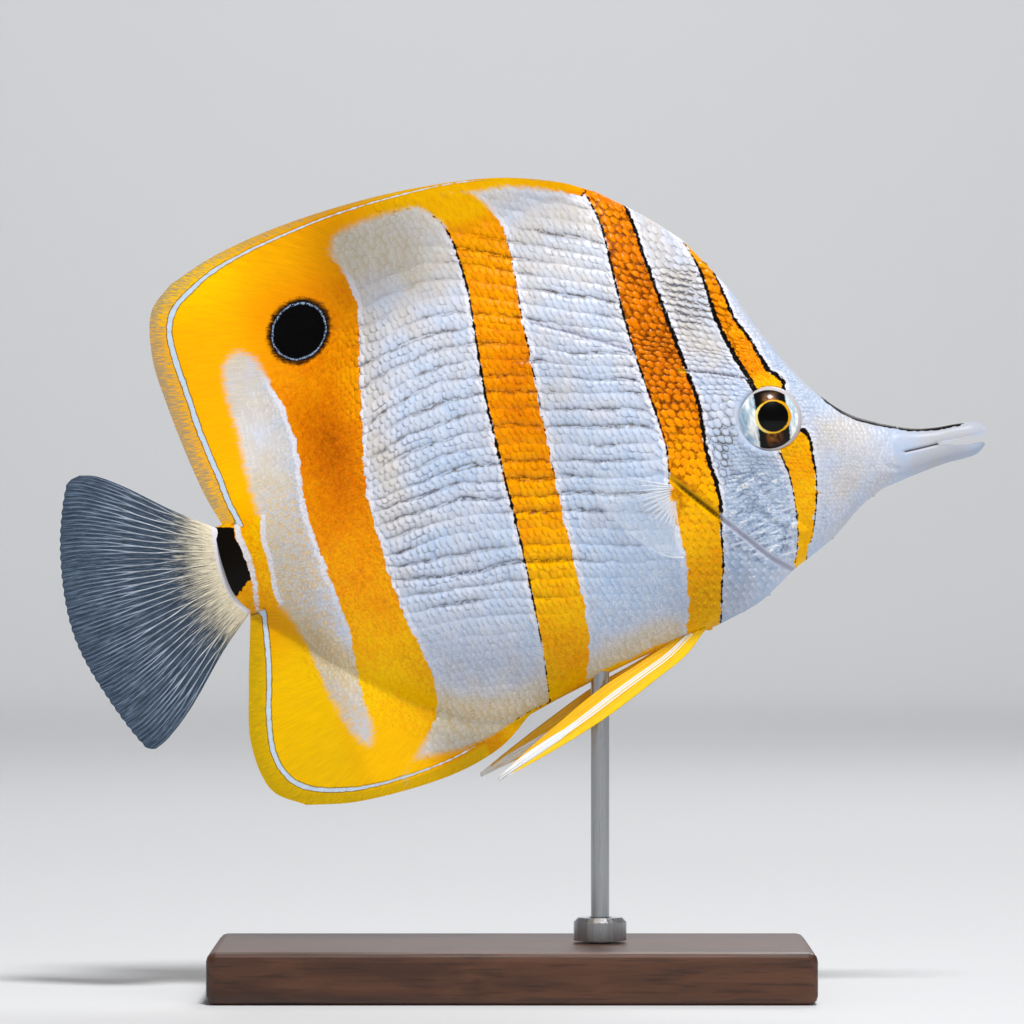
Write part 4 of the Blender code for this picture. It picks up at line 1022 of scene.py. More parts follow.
def make_eyes(material):
    """A flattened glossy globe in each socket, with a low dome over the iris."""
    for side_name, side in SIDES.items():
        mesh = bmesh.new()
        bmesh.ops.create_uvsphere(mesh, u_segments=96, v_segments=64, radius=1.0)
        local = np.array([(vert.co.x, vert.co.y, vert.co.z) for vert in mesh.verts])
        reach = np.hypot(local[:, 0], local[:, 1])
        dome = 0.35 * bell(reach, 0.62) * (local[:, 2] > 0.0)
        for vert, (x, y, z), extra in zip(mesh.verts, local, dome):
            vert.co = (-EYE_CENTRE[0] + x * EYE_RADIUS, side * (EYE_OFFSET + z * EYE_DEPTH + extra),
                       EYE_CENTRE[1] + y * EYE_RADIUS)
        set_measures(mesh, {"iris": local.T * EYE_RADIUS})
        bmesh.ops.recalc_face_normals(mesh, faces=mesh.faces)
        finish_piece("globe_" + side_name, mesh, material, ["eye_" + side_name])


def ray_fan(across, along, rays, splits):
    """How near a place is to a branching fin ray, 1 on its middle. Both inputs run from 0 to 1."""
    nearness = np.zeros_like(across)
    width = (0.062 - 0.03 * along) / rays + 0.0005
    for index in range(rays):
        places = [np.full_like(across, (index + 0.5) / rays)]
        spread = 0.5 / rays
        for split in splits:
            spread = spread * 0.5
            move = spread * smooth_step(along, split, split + 0.22)
            places = [place + sign * move for place in places for sign in (-1.0, 1.0)]
        for place in places:
            nearness = np.maximum(nearness, bell(across - place, width))
    return nearness


TAIL_COLUMNS = 100
TAIL_ROWS = 440
TAIL_RAYS = 17
TAIL_SCALLOPS = 34


def make_tail_fin(material):
    """The fan of the tail: branching rays in a thin skin, thick at the root."""
    mesh, u, v = unit_grid(TAIL_COLUMNS, TAIL_ROWS)
    rear_line = smooth_curve(TAIL_REAR)
    root = smooth_curve(TAIL_ROOT) - (1.2, 0.0)
    root[:, 1] = STEM_MIDDLE + (root[:, 1] - STEM_MIDDLE) * 0.96
    bottom = joined(line_between(root[0], STEM_BOTTOM), smooth_curve(TAIL_BOTTOM), samples=240)
    top = joined(line_between(root[-1], STEM_TOP), smooth_curve(TAIL_TOP), samples=240)
    points = four_sided(bottom, top, root, rear_line)(u, v)
    points[:, 0] += 0.09 * np.sin(v * 2.0 * math.pi * TAIL_SCALLOPS) * smooth_step(u, 0.9, 1.0)
    ray = ray_fan(v, u, TAIL_RAYS, (0.24, 0.52))
    round_root = np.sqrt(np.clip(1.0 - (2.0 * v - 1.0) ** 2, 0.0, 1.0))
    width = 0.16 + 1.95 * (1.0 - u) ** 2.6 * round_root + 0.14 * ray * smooth_step(u, 0.02, 0.2) * (1.1 - u)
    place_verts(mesh, points, -width)
    set_measures(mesh, {"fan": (ray, u, v)})
    bmesh.ops.reverse_faces(mesh, faces=mesh.faces)
    mirror_half(mesh)
    finish_piece("tail_fan", mesh, material, ["tail_fin"], sharp=60.0)


PELVIC_LOWER = [(55.6, -19.4), (60.0, -22.8), (66.0, -25.5), (76.0, -29.6), (86.0, -32.7), (97.0, -35.4)]
PELVIC_UPPER = [(61.6, -20.2), (68.0, -22.4), (76.0, -25.0), (84.0, -28.6), (91.0, -32.0), (96.9, -35.1)]
PELVIC_TRAIL = {"right": (0.0, 0.0), "left": (3.0, 1.1)}  # how far each tip lies back and up of its place
PELVIC_THICKNESS = 0.42
PELVIC_PLEATS = 5.5


def make_pelvic_fins(material):
    """Each pelvic fin is a folded yellow blade behind one white spine."""
    lower = smooth_curve(PELVIC_LOWER)
    upper = smooth_curve(PELVIC_UPPER)
    patch = four_sided(lower, upper, line_between(lower[0], upper[0]), line_between(lower[-1], upper[-1]))
    for side_name, side in SIDES.items():
        mesh, u, v = unit_grid(120, 36)
        points = patch(u, v) + np.outer(u, PELVIC_TRAIL[side_name])
        pleat = 0.09 * np.sin(v * 2.0 * math.pi * PELVIC_PLEATS + 0.6) * (1.0 - 0.6 * u)
        spine = bell(v - 0.5, 0.12)
        middle = 1.5 + 3.6 * u + pleat + 0.25 * spine
        place_verts(mesh, points, side * middle)
        set_measures(mesh, {"fan": (spine, u, v)})
        bmesh.ops.solidify(mesh, geom=mesh.faces[:], thickness=PELVIC_THICKNESS)
        bmesh.ops.recalc_face_normals(mesh, faces=mesh.faces)
        finish_piece("pelvic_blade_" + side_name, mesh, material, ["pelvic_fin_" + side_name])


PECTORAL_ROOT = [(55.3, 2.0), (54.8, 4.0), (55.2, 6.0)]
PECTORAL_REACH = [(56.2, -6.8), (59.2, -5.8), (62.4, -2.8), (66.2, 2.6), (68.2, 8.4), (67.4, 12.1)]
PECTORAL_RAYS = 14
PECTORAL_HINGE = (55.0, 4.0)
PECTORAL_GAP = 0.35  # the web's distance from the flank at the hinge, in mm
PECTORAL_SPREAD = 0.2  # how much further out it lies with each mm from the hinge


def pectoral_place(points, side):
    """How far out the pectoral fin lies at points of the side view."""
    edge = np.maximum(read_chart("edge", points), 0.0)
    level = body_half_width(points, edge)
    run = np.hypot(points[:, 0] - PECTORAL_HINGE[0], points[:, 1] - PECTORAL_HINGE[1])
    return side * (level + PECTORAL_GAP + PECTORAL_SPREAD * run)


def make_pectoral_fins(membrane, root_material, ray_material):
    """Clear fans on the flanks, with thin white rays."""
    root = smooth_curve(PECTORAL_ROOT)
    reach = smooth_curve(PECTORAL_REACH)
    patch = four_sided(line_between(root[0], reach[0]), line_between(root[-1], reach[-1]), root, reach)
    for side_name, side in SIDES.items():
        mesh, u, v = unit_grid(40, 60)
        points = patch(u, v)
        place_verts(mesh, points, pectoral_place(points, side))
        set_measures(mesh, {"fan": (ray_fan(v, u, PECTORAL_RAYS, (0.5,)), u, v)})
        finish_piece("pectoral_web_" + side_name, mesh, membrane,
                     ["pectoral_fin_" + side_name])
        milky, u, v = unit_grid(12, 112)
        fingers = 0.76 + 0.24 * np.cos(2.0 * np.pi * (PECTORAL_RAYS * v - 0.5))
        points = patch(0.56 * u * (0.5 + 0.5 * np.sin(np.pi * v)) * fingers, v)
        place_verts(milky, points, pectoral_place(points, side) + side * 0.04)
        finish_piece("pectoral_root_" + side_name, milky, root_material)
        rays = bmesh.new()
        rays.verts.layers.float_vector.new("fan")
        for index in range(PECTORAL_RAYS):
            place = (index + 0.5) / PECTORAL_RAYS
            add_ray(rays, lambda along: patch(0.98 * along, np.full(len(along), place)), side,
                    0.03 + (0.07 + 0.1 * place**2) * (1.0 - RAY_STEPS) ** 1.3)
        add_ray(rays, lambda along: patch(np.full(len(along), 0.99), 0.55 * along), side,
                0.1 * (1.0 - RAY_STEPS) + 0.02)
        finish_piece("pectoral_rays_" + side_name, rays, ray_material)


RAY_STEPS = np.linspace(0.0, 1.0, 15)


def add_ray(mesh, line, side, radii):
    """One round ray with six sides, along a line over the flank, with a radius at each step."""
    made = bmesh.ops.create_grid(mesh, x_segments=len(RAY_STEPS) - 1, y_segments=6, size=0.5)["verts"]
    local = np.array([vert.co[:2] for vert in made]) + 0.5
    points = line(local[:, 0])
    level = pectoral_place(points, side)
    turn = local[:, 1] * 2.0 * math.pi
    radius = np.interp(local[:, 0], RAY_STEPS, radii)
    layer = mesh.verts.layers.float_vector["fan"]
    for vert, (back, up), out, angle, size, part in zip(made, points, level, turn, radius, local[:, 0]):
        vert.co = (-back, out + size * math.cos(angle), up + size * math.sin(angle))
        vert[layer] = (part, 0.0, 0.0)
    bmesh.ops.remove_doubles(mesh, verts=made, dist=0.0005)


def hex_colour(text):
    """An sRGB hex value turned to linear light."""
    parts = [int(text[place:place + 2], 16) / 255.0 for place in (1, 3, 5)]
    linear = [part / 12.92 if part <= 0.04045 else ((part + 0.055) / 1.055) ** 2.4 for part in parts]
    return (*linear, 1.0)


# Where the inputs of a node go, in the order they are given. On any other node they fill its own order.
# Mix takes a share and two colours. MapRange takes a value, then the range it comes from and goes to.
INPUT_PLACES = {"Mix": (0, 6, 7), "TexNoise": ("Vector", "Scale", "Detail", "Roughness", "Distortion"),
                "TexVoronoi": ("Vector", "Scale"), "Mapping": ("Vector", "Scale", "Rotation", "Location"),
                "Bump": ("Strength", "Distance", "Height")}
MIXED_COLOUR = 2  # the output of a Mix node that holds the colour


def set_inputs(node, values):
    """Gives each named input of a node a link or a value. Text is a hex colour."""
    for place, value in values.items():
        if isinstance(value, bpy.types.NodeSocket):
            node.id_data.links.new(value, node.inputs[place])
        else:
            node.inputs[place].default_value = hex_colour(value) if isinstance(value, str) else value


def add_node(tree, kind, *inputs, out=None, stops=(), **settings):
    """Adds a node with its settings and links. A kind in capitals is the operation of a Math node."""
    node = tree.nodes.new("ShaderNode" + ("Math" if kind.isupper() else kind))
    if kind.isupper():
        node.operation = kind
    if kind == "Mix":
        node.data_type = "RGBA"
        out = MIXED_COLOUR
    for name, value in settings.items():
        setattr(node, name, value)
    set_inputs(node, dict(zip(INPUT_PLACES.get(kind, range(len(inputs))), inputs)))
    for _ in stops[2:]:  # a new colour ramp has two stops
        node.color_ramp.elements.new(0.5)
    for index, (place, colour) in enumerate(stops):
        node.color_ramp.elements[index].position = place
        node.color_ramp.elements[index].color = hex_colour(colour)
    return node.outputs[out or 0]


def new_material(name):
    """A material, and the function that adds nodes to it."""
    material = bpy.data.materials.new(name)
    material.use_nodes = True
    return material, partial(add_node, material.node_tree)


def finish_material(material, inputs):
    set_inputs(material.node_tree.nodes["Principled BSDF"], inputs)
    return material


def measures(add, name):
    """The three measures of a stored set."""
    vector = add("Attribute", out=1, attribute_type="GEOMETRY", attribute_name=name)
    return add("SeparateXYZ", vector).node.outputs


def millimetres(add):
    """Object coordinates turned to the fish's own frame, in millimetres."""
    turned = Matrix.Rotation(NOSE_UP, 3, "Y") @ (-SNOUT_TIP)
    return add("Mapping", add("TexCoord", out=3), (1.0 / MM,) * 3, (0.0, NOSE_UP, 0.0), turned)


def fish_markings():
    """Node group shared by skin and scales: colour, roughness and height from the stored measures."""
    group = bpy.data.node_groups.new("fish_markings", "ShaderNodeTree")
    for name, kind in (("Colour", "NodeSocketColor"), ("Roughness", "NodeSocketFloat"),
                       ("Height", "NodeSocketFloat")):
        group.interface.new_socket(name, in_out="OUTPUT", socket_type=kind)
    add = partial(add_node, group)
    place = millimetres(add)
    warm, ink, light = measures(add, "marks")
    spot, hue, tint = measures(add, "looks")
    across, along, fin = measures(add, "rays")
    rim, tone_and_painted_shading, glint = measures(add, "plates")
    light_width, dark, crease = measures(add, "edging")
    curly, strip, cheek = measures(add, "surface")

    jag = add("TexNoise", place, 1.1, 3.0, 0.6)
    fine = add("TexNoise", place, 4.5, 3.0, 0.65)
    broad = add("TexNoise", place, 0.16, 3.0, 0.55)
    ray_place = add("CombineXYZ", across, add("MULTIPLY", along, 0.07))
    streak = add("TexNoise", ray_place, 3.4, 4.0, 0.7)
    foil_place = add("Mapping", place, (0.26, 0.5, 0.9), (0.0, 0.5, 0.0))
    foil = add("TexNoise", foil_place, 1.0, 5.0, 0.7, 1.4)
    curl = add("TexNoise", place, 0.6, 1.0, 0.5, 0.5)
    curl_wave = add("SINE", add("MULTIPLY", curl, 52.0))
    lumps = add("TexNoise", place, 0.42, 2.0, 0.6)
    lump_mm = add("MapRange", lumps, 0.3, 0.7, -0.36, 0.36)
    jag_mm = add("MapRange", jag, 0.3, 0.7, -0.32, 0.32)
    feather = add("MapRange", streak, 0.3, 0.7, -0.75, 0.75)
    feathered = add("MULTIPLY", feather, fin)

    before_stem = add("MapRange", add("SeparateXYZ", place), -127.0, -122.0)
    loose = add("MULTIPLY", add("MapRange", fin, 0.0, 1.0, 0.8, 0.0), before_stem)
    ragged = add("MULTIPLY_ADD", lump_mm, loose, feathered)
    ragged = add("MULTIPLY_ADD", jag_mm, 0.55, ragged)
    warm_depth = add("ADD", warm, ragged)
    soft = add("MapRange", fin, 0.0, 1.0, 0.09, 0.85)
    is_warm = add("MapRange", add("DIVIDE", warm_depth, soft), -1.0, 1.0, interpolation_type="SMOOTHSTEP")

    tinted = add("ADD", add("MapRange", broad, 0.3, 0.7, -0.22, 0.22), tint)
    silver = add("ValToRGB", tinted, stops=[(0.0, "#CEC2AC"), (0.3, "#CBC7C8"), (0.6, "#BFCAE0"),
                                            (1.0, "#A8C2E4")])
    golden = add("MapRange", tint, -0.02, -0.5, 0.0, 0.45)
    silver = add("Mix", golden, silver, "#DDBE6C")
    beads = add("MapRange", fine, 0.55, 0.68, 0.0, 0.45)
    silver = add("Mix", beads, silver, "#E9E2D2")
    in_cell = add("MapRange", add("TexVoronoi", place, 0.72, feature="DISTANCE_TO_EDGE"), 0.06, 0.2, 0.0,
                  0.75)
    toward_stem = add("MapRange", add("SeparateXYZ", place), -115.0, -118.5)
    below_patch = add("MapRange", add("SeparateXYZ", place, out=2), 27.0, 20.0)
    celled = add("MULTIPLY", add("MULTIPLY", toward_stem, below_patch), in_cell)
    silver = add("Mix", celled, silver, "#DFC08E")
    # The silver cheek's own blue, streaked from dark blue to white with painted reflections.
    cheek_reflection_colour = add("ValToRGB", foil, stops=[(0.36, "#4A5A76"), (0.47, "#94A9C8"), (0.56, "#BBCCE4"),
                                               (0.64, "#FFFFFF")])
    cheek_reflection_share = add("MULTIPLY", cheek, 0.8)
    silver = add("Mix", cheek_reflection_share, silver, cheek_reflection_colour)
    # Painted highlight: the glint of each plate lightens the silver towards white.
    lit = add("MULTIPLY", glint, 0.4)
    silver = add("Mix", lit, silver, "#F2F5FB")
    near_band = add("MapRange", warm_depth, -1.05, -0.75, interpolation_type="SMOOTHSTEP")
    near_band = add("MULTIPLY", near_band, strip)
    near_band = add("MULTIPLY", near_band, add("MapRange", fin, 0.0, 1.0, 0.78, 0.0))
    silver = add("Mix", near_band, silver, "#EAE9F2")

    mottle = add("ADD", add("ADD", jag, broad), fine)
    hue_noise = add("MapRange", mottle, 1.2, 1.8, -0.16, 0.16)
    hue_noise = add("MULTIPLY", hue_noise, add("MapRange", fin, 0.0, 1.0, 1.0, 0.06))
    hue_now = add("ADD", add("ADD", hue, hue_noise), add("MapRange", tone_and_painted_shading, 0.8, 1.1, 0.08, -0.08))
    orange = add("ValToRGB", hue_now, stops=[(0.0, "#FFC800"), (0.2, "#FDB000"), (0.42, "#F79600"),
                                             (0.62, "#EA7E00"), (0.82, "#D46800"), (1.0, "#8E4600")])
    # Painted highlight: the glint of each plate lightens the orange towards yellow.
    warm_lit = add("MULTIPLY", glint, 0.22)
    orange = add("Mix", warm_lit, orange, "#FFB800")
    body = add("Mix", is_warm, silver, orange)
    body = add("Mix", 1.0, body, tone_and_painted_shading, blend_type="MULTIPLY")

    # Painted shade: the plates' rim value darkens the gaps between scales and the long grooves towards a
    # grey, brown or dark orange shade colour.
    serrated = add("ADD", jag, fine)
    broken_rim_shade = add("MULTIPLY_ADD", add("MapRange", serrated, 0.7, 1.3, -0.75, 0.75), rim, rim)
    groove = add("MapRange", broken_rim_shade, 0.2, 0.85, 0.0, 0.92)
    silver_groove_shade = add("ValToRGB", broad, stops=[(0.35, "#4E566A"), (0.5, "#625D5E"), (0.68, "#6E6250")])
    warm_groove_shade = add("ValToRGB", hue, stops=[(0.0, "#A87400"), (0.4, "#7E4400"), (0.7, "#4E2200"),
                                            (1.0, "#2A1000")])
    deep = add("Mix", is_warm, silver_groove_shade, warm_groove_shade)
    body = add("Mix", groove, body, deep)

    stripes = add("MapRange", streak, 0.3, 0.7, 0.86, 1.06)
    shaded = add("Mix", fin, "#FFFFFF", stripes)
    body = add("Mix", 1.0, body, shaded, blend_type="MULTIPLY")
    curled = add("MapRange", curl_wave, -1.0, 1.0, 0.88, 1.05)
    curled = add("Mix", curly, "#FFFFFF", curled)
    body = add("Mix", 1.0, body, curled, blend_type="MULTIPLY")
    on_margin = add("MapRange", light, -0.35, -0.8)
    on_dorsal = add("MapRange", add("SeparateXYZ", place, out=2), 2.0, 16.0)
    olive_share = add("MULTIPLY", on_margin, add("MapRange", on_dorsal, 0.0, 1.0, 0.6, 0.26))
    body = add("Mix", olive_share, body, "#C8A408")
    hair = add("TexNoise", ray_place, 8.5, 3.0, 0.6)
    further_out = add("MapRange", light, -0.4, -3.6, -0.07, 0.1)
    grey_streak = add("MapRange", add("ADD", hair, further_out), 0.44, 0.56, 0.0, 0.8)
    grey_share = add("MULTIPLY", add("MULTIPLY", grey_streak, on_margin),
                     add("MapRange", on_dorsal, 0.0, 1.0, 0.34))
    streak_colour = add("Mix", on_dorsal, "#5E5A12", "#8E8A78")
    body = add("Mix", grey_share, body, streak_colour)

    from_line = add("SUBTRACT", add("ABSOLUTE", light), light_width)
    line_edge = add("MULTIPLY_ADD", jag_mm, 0.3, from_line)
    border = add("MapRange", light_width, 0.05, 0.3, 0.15, 0.75)
    light_edge = add("MULTIPLY", add("MapRange", line_edge, 0.26, 0.12), border)
    body = add("Mix", light_edge, body, "#4A3C10")
    light_in = add("MapRange", line_edge, 0.05, -0.05)
    pale_line = add("Mix", fine, "#A2BCDD", "#DCE6EE")
    body = add("Mix", light_in, body, pale_line)

    from_edge = add("ABSOLUTE", warm)
    ink_depth = add("SUBTRACT", ink, from_edge)
    ink_depth = add("MULTIPLY_ADD", jag_mm, 0.7, ink_depth)
    rough_dark = add("MULTIPLY_ADD", jag_mm, 0.4, dark)
    ink_depth = add("MAXIMUM", ink_depth, rough_dark)
    is_ink = add("MapRange", ink_depth, -0.07, 0.07, interpolation_type="SMOOTHSTEP")
    body = add("Mix", is_ink, body, "#0D0906")
    # Colour in the gill slit and the folds: the closed lower slit is its own lavender grey, while the dark
    # of the open slit and of the folds is painted shade.
    pale_crease = add("ValToRGB", crease, stops=[(0.12, "#E4E4EE"), (0.3, "#ABAEC2"), (0.45, "#9296AA"),
                                                 (0.62, "#453B34")])
    warm_crease = add("ValToRGB", crease, stops=[(0.12, "#F0B800"), (0.4, "#C89400"), (0.8, "#684C00")])
    crease_colour = add("Mix", is_warm, pale_crease, warm_crease)
    in_crease = add("MapRange", crease, 0.08, 0.28, 0.0, 0.9)
    body = add("Mix", in_crease, body, crease_colour)

    frayed = add("MULTIPLY_ADD", feather, 0.42, spot)
    frayed = add("MULTIPLY_ADD", jag_mm, 0.7, frayed)
    halo = add("MapRange", frayed, -1.0, -0.2, 0.0, 0.94, interpolation_type="SMOOTHSTEP")
    body = add("Mix", halo, body, "#221404")
    in_spot = add("MapRange", frayed, -0.2, 0.1)
    body = add("Mix", in_spot, body, "#040304")
    wavy_spot = add("MULTIPLY_ADD", jag_mm, 0.4, spot)
    ring_gap = add("ABSOLUTE", add("SUBTRACT", wavy_spot, 0.34))
    ring = add("MapRange", ring_gap, 0.2, 0.08, 0.0, 0.8)
    dots = add("MapRange", fine, 0.44, 0.54)
    ring = add("MULTIPLY", ring, dots)
    body = add("Mix", ring, body, "#9DB4D6")

    rough = add("MapRange", fine, 0.3, 0.7, 0.22, 0.4)
    foil_bump = add("MULTIPLY_ADD", add("MULTIPLY", foil, cheek), 1.6, fine)
    bumps = add("MULTIPLY_ADD", foil_bump, 0.35, add("MULTIPLY", streak, fin))
    curl_bump = add("MULTIPLY", curl_wave, curly)
    bumps = add("MULTIPLY_ADD", curl_bump, 0.1, bumps)
    set_inputs(group.nodes.new("NodeGroupOutput"), {"Colour": body, "Roughness": rough, "Height": bumps})
    return group


def marked_material(name, group, coat, bump_depth):
    """Living fish skin: thin clear slime over colour cells, which gives small wet highlights."""
    material, add = new_material(name)
    colour, roughness, height = add("Group", node_tree=group).node.outputs
    normal = add("Bump", 0.5, bump_depth * MM, height)
    return finish_material(material, {"Base Color": colour, "Roughness": roughness, "Normal": normal,
                                      "Specular IOR Level": 0.08, "Coat Weight": coat,
                                      "Coat Roughness": 0.12})


def eye_material():
    """Wet cornea over a banded iris: mirror-clear coat, black pupil, a ring of gold."""
    material, add = new_material("wet_eye")
    x, y = measures(add, "iris")[:2]
    pupil_x = add("ADD", x, -0.79)
    pupil_y = add("ADD", y, -0.26)
    bar_x = add("MULTIPLY_ADD", y, -0.13, add("ADD", x, -0.62))
    place = millimetres(add)
    fine = add("TexNoise", place, 2.4, 3.0)
    radius = add("ADD", add("POWER", pupil_x, 2.0), add("POWER", pupil_y, 2.0))
    radius = add("SQRT", radius)
    wobble = add("MapRange", fine, 0.0, 1.0, -0.12, 0.12)
    radius = add("ADD", radius, wobble)
    swirl_place = add("Mapping", place, (0.75, 0.4, 0.3), (0.0, 0.5, 0.0))
    swirl = add("TexNoise", swirl_place, 1.0, 4.0, 0.5, 1.2)
    iris = add("ValToRGB", swirl, stops=[(0.34, "#8FA9BE"), (0.47, "#B9CDD9"), (0.56, "#DCE5E8"),
                                         (0.64, "#FBFBF7")])
    bar_gap = add("ABSOLUTE", add("MULTIPLY_ADD", wobble, 2.2, bar_x))
    in_bar = add("MapRange", bar_gap, 2.85, 2.6)
    height = add("ADD", add("ABSOLUTE", y), -3.9)
    core = add("MapRange", height, 0.9, -0.7)
    soft = add("TexNoise", place, 1.1, 1.0)
    narrow = add("MapRange", bar_gap, 1.7, 0.7)
    brown = add("MULTIPLY", add("MULTIPLY", core, narrow), add("MapRange", soft, 0.35, 0.65, 0.1, 0.9))
    bar = add("Mix", brown, "#0A0603", "#9A5A12")
    iris = add("Mix", in_bar, iris, bar)
    edge = add("MapRange", add("ADD", add("POWER", x, 2.0), add("POWER", y, 2.0)), 25.0, 26.5)
    iris = add("Mix", edge, iris, "#C4BFC0")
    side_share = add("MapRange", add("ABSOLUTE", pupil_x), 1.0, 2.6, 0.0, 0.22)
    ring_radius = add("SUBTRACT", radius, side_share)
    gold = add("MapRange", ring_radius, 2.96, 2.86)
    gold_colour = add("ValToRGB", add("MapRange", pupil_x, -2.8, 2.8),
                      stops=[(0.0, "#F2DE8C"), (0.3, "#E8B414"), (1.0, "#DC9A08")])
    iris = add("Mix", gold, iris, gold_colour)
    pupil = add("MapRange", radius, 2.7, 2.6)
    iris = add("Mix", pupil, iris, "#020202")
    return finish_material(material, {"Base Color": iris, "Roughness": 0.3, "Specular IOR Level": 0.1,
                                      "Coat Weight": 0.3, "Coat Roughness": 0.02, "Coat IOR": 1.34})


def tail_material():
    """Grey membrane between pale bony rays: faint gloss, pale fleshy root."""
    material, add = new_material("rayed_tail_membrane")
    ray, along, across = measures(add, "fan")
    place = millimetres(add)
    stretched = add("CombineXYZ", add("MULTIPLY", across, 210.0), add("MULTIPLY", along, 9.0))
    streak = add("TexNoise", stretched, 1.0, 4.0, 0.7)
    fine = add("TexNoise", place, 2.6, 3.0)
    web = add("ValToRGB", streak, stops=[(0.3, "#1A2530"), (0.5, "#364454"), (0.62, "#57677C"),
                                         (0.74, "#8595AC")])
    per_ray = add("TexNoise", add("CombineXYZ", add("MULTIPLY", across, 17.0)), 0.9, 1.0)
    flesh = add("MapRange", add("MULTIPLY_ADD", streak, -1.0, along), -0.2, -0.42)
    ray_colour = add("ValToRGB", along, stops=[(0.1, "#EDE3CC"), (0.4, "#E2E6EB"), (0.7, "#A0AEC2"),
                                               (1.0, "#55647A")])
    shown = add("MULTIPLY", add("MapRange", ray, 0.3, 0.8), add("MapRange", streak, 0.32, 0.6, 0.25, 1.0))
    shown = add("MULTIPLY", shown, add("MapRange", per_ray, 0.35, 0.6, 0.35, 1.0))
    colour = add("Mix", shown, web, ray_colour)
    root = add("Mix", fine, "#D2C3A0", "#F6ECD2")
    colour = add("Mix", flesh, colour, root)
    at_root = add("MapRange", add("MULTIPLY_ADD", fine, 0.04, along), 0.088, 0.08)
    colour = add("Mix", at_root, colour, "#DAD6DC")
    normal = add("Bump", 0.5, 0.12 * MM, add("ADD", streak, fine))
    rough = add("MapRange", fine, 0.0, 1.0, 0.32, 0.52)
    return finish_material(material, {"Base Color": colour, "Roughness": rough, "Normal": normal,
                                      "Specular IOR Level": 0.2})


def pelvic_material():
    """Yellow fin skin folded behind a white spine: satin, with fine pleats."""
    material, add = new_material("pelvic_fin_skin")
    _, along, across = measures(add, "fan")
    stretched = add("CombineXYZ", add("MULTIPLY", across, 16.0), add("MULTIPLY", along, 5.0))
    streak = add("TexNoise", stretched, 1.4, 4.0, 0.65)
    yellow = add("ValToRGB", streak, stops=[(0.25, "#F4BC00"), (0.5, "#FFCC00"), (0.75, "#FFDC10")])
    # Painted shade: the upper half of the blade, which lies in the shadow of the belly, is painted a deeper
    # yellow.
    shaded = add("ValToRGB", streak, stops=[(0.3, "#EEAE00"), (0.7, "#FFC800")])
    upper = add("MapRange", across, 0.5, 0.66)
    yellow = add("Mix", upper, yellow, shaded)
    from_spine = add("ABSOLUTE", add("SUBTRACT", across, 0.5))
    tip = add("MapRange", along, 0.6, 0.97, -0.04, 0.5)
    beyond_tip = add("SUBTRACT", from_spine, add("MULTIPLY_ADD", streak, 0.06, tip))
    from_lines = add("ABSOLUTE", add("SUBTRACT", from_spine, 0.045))
    beyond_lines = add("SUBTRACT", from_lines, 0.024)
    white = add("MapRange", add("MINIMUM", beyond_tip, beyond_lines), 0.02, 0.0)
    colour = add("Mix", white, yellow, "#F4F5F4")
    normal = add("Bump", 0.35, 0.12 * MM, streak)
    return finish_material(material, {"Base Color": colour, "Roughness": 0.36, "Normal": normal,
                                      "Coat Weight": 0.2})


def pectoral_materials():
    """Clear fin web that lets the flank show, its milky root, and the white rays in it."""
    web, add = new_material("clear_fin_web")
    fine = add("TexNoise", millimetres(add), 2.0, 2.0)
    colour = add("Mix", fine, "#D5DDE8", "#F4F6FA")
    finish_material(web, {"Base Color": colour, "Alpha": 0.24, "Roughness": 0.25})
    milky, add = new_material("milky_fin_root")
    finish_material(milky, {"Base Color": "#F4F6FB", "Alpha": 0.42, "Roughness": 0.3})
    rays, add = new_material("white_fin_ray")
    along = measures(add, "fan")[0]
    fine = add("TexNoise", millimetres(add), 1.2, 2.0)
    faded = add("MULTIPLY_ADD", add("SUBTRACT", fine, 0.5), 0.8, along)
    colour = add("ValToRGB", faded, stops=[(0.1, "#F6F7FA"), (0.5, "#D3DDEA"), (0.85, "#B4C6DE")])
    finish_material(rays, {"Base Color": colour, "Alpha": 0.55, "Roughness": 0.35})
    return web, milky, rays


def walnut():
    """Oiled walnut, planed and sanded: long dark grain with a low satin sheen."""
    material, add = new_material("oiled_walnut")
    coordinates = add("TexCoord", out=3)
    grain_place = add("Mapping", coordinates, (14.0, 190.0, 190.0))
    bend = add("TexNoise", add("Mapping", coordinates, (12.0, 30.0, 30.0)), 1.0, 3.0)
    bent = add("VectorMath", grain_place, add("CombineXYZ", 0.0, add("MULTIPLY", bend, 6.0)),
               operation="ADD")
    grain = add("TexNoise", bent, 1.0, 6.0, 0.62)
    pores = add("TexNoise", add("Mapping", coordinates, (90.0, 1500.0, 1500.0)), 1.0, 2.0)
    wood = add("ValToRGB", grain, stops=[(0.25, "#2A170D"), (0.45, "#46291A"), (0.6, "#5A3723"),
                                         (0.78, "#38200F")])
    pore_shade = add("MapRange", pores, 0.35, 0.45, 0.6, 1.0)
    wood = add("Mix", 1.0, wood, pore_shade, blend_type="MULTIPLY")
    rough = add("MapRange", grain, 0.0, 1.0, 0.34, 0.5)
    normal = add("Bump", 0.35, 0.1 * MM, pores)
    return finish_material(material, {"Base Color": wood, "Roughness": rough, "Normal": normal})


